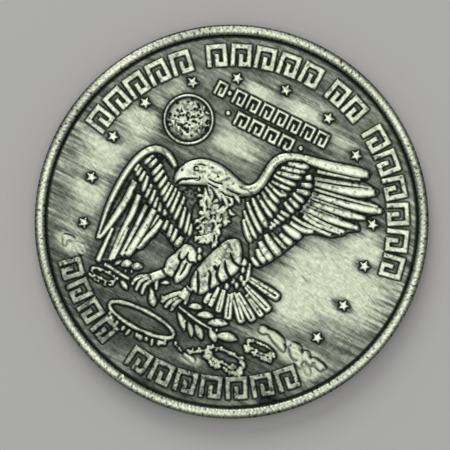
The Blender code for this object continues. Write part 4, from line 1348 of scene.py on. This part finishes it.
def antiqued(name, stops, streak_amount, grain_amount, scratch_amount=0.0):
    """Blackened metal, wiped: the dark film is rough and dull, the bared metal is glossier."""
    material, tree = new_material(name)
    place = add_node(tree, "TexCoord").outputs["Object"]
    tone = add_node(tree, "Attribute", {"attribute_name": "tone"}).outputs["Fac"]
    flat = add_node(tree, "Attribute", {"attribute_name": "flatness"}).outputs["Fac"]
    stretch = (1 / (STREAK_LENGTH * MM), 1 / (STREAK_WIDTH * MM), 1 / (STREAK_LENGTH * MM))
    along = add_node(tree, "Mapping", {"Scale": stretch}, {"Vector": place}).outputs["Vector"]
    streak = add_node(tree, "TexNoise", {"Scale": 1.0, "Detail": 3.0, "Roughness": 0.6},
                      {"Vector": along}).outputs["Fac"]
    grain = add_node(tree, "TexNoise", {"Scale": 1 / (GRAIN * MM), "Detail": 3.0, "Roughness": 0.7},
                     {"Vector": place}).outputs["Fac"]
    brushed = add_node(tree, "Math", {"operation": "MULTIPLY_ADD", 1: streak_amount,
                                      2: -streak_amount / 2}, {0: streak}).outputs[0]
    scratch_size = (SCRATCH_LENGTH * MM, SCRATCH_WIDTH * MM, SCRATCH_LENGTH * MM)
    across = add_node(tree, "Mapping", {"vector_type": "TEXTURE", "Rotation": (0, 0, SCRATCH_TURN),
                                        "Scale": scratch_size}, {"Vector": place}).outputs["Vector"]
    scratch = add_node(tree, "TexNoise", {"Scale": 1.0, "Detail": 2.0}, {"Vector": across}).outputs["Fac"]
    scratch = add_node(tree, "MapRange", {"From Min": 0.52, "From Max": 0.72, "To Max": scratch_amount},
                       {"Value": scratch}).outputs["Result"]
    brushed = add_node(tree, "Math", {"operation": "SUBTRACT"}, {0: brushed, 1: scratch}).outputs[0]
    brushed = add_node(tree, "Math", {"operation": "MULTIPLY"}, {0: brushed, 1: flat}).outputs[0]
    speckled = add_node(tree, "Math", {"operation": "MULTIPLY_ADD", 1: grain_amount,
                                       2: -grain_amount / 2}, {0: grain}).outputs[0]
    broken = add_node(tree, "Math", {"operation": "ADD"}, {0: brushed, 1: speckled}).outputs[0]
    metal = add_node(tree, "Math", {"operation": "ADD", "use_clamp": True},
                     {0: broken, 1: tone}).outputs[0]
    color = add_node(tree, "ValToRGB", {"stops": stops}, {"Fac": metal}).outputs["Color"]
    bared = add_node(tree, "MapRange", {"From Min": 0.1, "From Max": 0.75, "To Min": 0.8,
                                        "To Max": 1.0}, {"Value": metal}).outputs["Result"]
    gloss = add_node(tree, "MapRange", {"From Min": 0.1, "From Max": 0.9, "To Min": 0.55,
                                        "To Max": 0.38}, {"Value": metal}).outputs["Result"]
    bump = add_node(tree, "Bump", {"Strength": 0.25, "Distance": 0.01 * MM},
                    {"Height": broken}).outputs["Normal"]
    shader = add_node(tree, "BsdfPrincipled", {}, {"Base Color": color, "Metallic": bared,
                                                   "Roughness": gloss, "Normal": bump})
    add_node(tree, "OutputMaterial", {}, {"Surface": shader.outputs["BSDF"]})
    return material


cupronickel = antiqued("antiqued_cupronickel", CUPRONICKEL_STOPS, streak_amount=0.34,
                       grain_amount=0.26, scratch_amount=0.16)
# Bare copper that has toned brown in the hand, darkest between the reeds.
COPPER_STOPS = [(0.0, "#1C110C"), (0.3, "#3F251A"), (0.7, "#7A4A33"), (1.0, "#A8714F")]
copper = antiqued("toned_copper", COPPER_STOPS, streak_amount=0.2, grain_amount=0.3)
print("finishes:", cupronickel.name, "and", copper.name)

# %% [markdown]
# ## Putting it together
# Every piece rides on the coin's one body and stands for its layer of the clad strip.

# %% Bodies, materials and layers
LAYERS = [("reverse_cladding", "cupronickel", cupronickel, reverse_pieces + [reverse_rim]),
          ("obverse_cladding", "cupronickel", cupronickel, obverse_pieces + [obverse_rim]),
          ("copper_core", "copper", copper, [core_band])]
for node, slot, material, pieces in LAYERS:
    for piece in pieces:
        piece.data.materials.clear()
        piece.data.materials.append(material)
        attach(piece, "root")
        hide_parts(node)
    print(node, "is shown by", ", ".join(piece.name for piece in pieces))

# %% [markdown]
# ## Stage
# The coin lies on a plain pale floor and is seen from straight above, turned a little
# clockwise. Nearly all of a metal's brightness is what it mirrors, so one broad soft light
# hangs overhead, and a second comes from beyond twelve o'clock to model the relief.

# %% Floor
bpy.ops.mesh.primitive_plane_add(size=1.2, location=(0, 0, 0))
floor = bpy.context.object
floor.name = "floor"
paper, tree = new_material("pale_floor")
shader = add_node(tree, "BsdfPrincipled", {"Base Color": linear("#D9D7D2"), "Roughness": 0.8})
add_node(tree, "OutputMaterial", {}, {"Surface": shader.outputs["BSDF"]})
floor.data.materials.append(paper)
print(f"floor {floor.dimensions.x:.1f} m across")

# %% Camera
TURN = math.radians(26.7)             # the design is seen turned this far clockwise
FRAME_WIDTH = 43.4 * MM               # how much the camera takes in, at the coin
OFF_CENTER = Vector((0.64, 0.32))     # millimetres, the coin's place right of and above middle
CAMERA_HEIGHT = 0.30
camera_data = bpy.data.cameras.new("camera")
camera = bpy.data.objects.new("camera", camera_data)
bpy.context.scene.collection.objects.link(camera)
camera_data.sensor_width = 36         # millimetres, a full frame
distance = CAMERA_HEIGHT - COIN_THICKNESS * MM
camera_data.lens = camera_data.sensor_width * distance / FRAME_WIDTH
camera_data.clip_start = 0.01
shift = Matrix.Rotation(TURN, 2) @ (OFF_CENTER * -MM)
camera.location = (shift.x, shift.y, CAMERA_HEIGHT)
camera.rotation_euler = (0, 0, TURN)
bpy.context.scene.camera = camera
print(f"lens {camera_data.lens:.0f} mm, {CAMERA_HEIGHT:.2f} m above the floor")

# %% Lights
def soft_light(name, direction, distance, size, power):
    """A square soft light that faces the coin from a direction given as x, y, z."""
    data = bpy.data.lights.new(name, "AREA")
    data.shape = "SQUARE"
    data.size = size
    data.energy = power
    light = bpy.data.objects.new(name, data)
    bpy.context.scene.collection.objects.link(light)
    away = Vector(direction).normalized()
    light.location = away * distance
    light.rotation_euler = away.to_track_quat("Z", "Y").to_euler()
    return light


beyond = Matrix.Rotation(TURN + math.radians(15), 2) @ Vector((0, 1))
lights = [soft_light("overhead", (0, 0, 1), distance=0.8, size=0.55, power=1.55),
          soft_light("beyond_twelve", (beyond.x, beyond.y, 0.9), distance=0.8, size=0.45, power=1.8)]
print("lights:", ", ".join(light.name for light in lights))
world = bpy.data.worlds.new("studio")
world.use_nodes = True
world.node_tree.nodes["Background"].inputs["Color"].default_value = linear("#C8CCD0")
world.node_tree.nodes["Background"].inputs["Strength"].default_value = 0.35
bpy.context.scene.world = world
bpy.context.scene.view_settings.view_transform = "Standard"
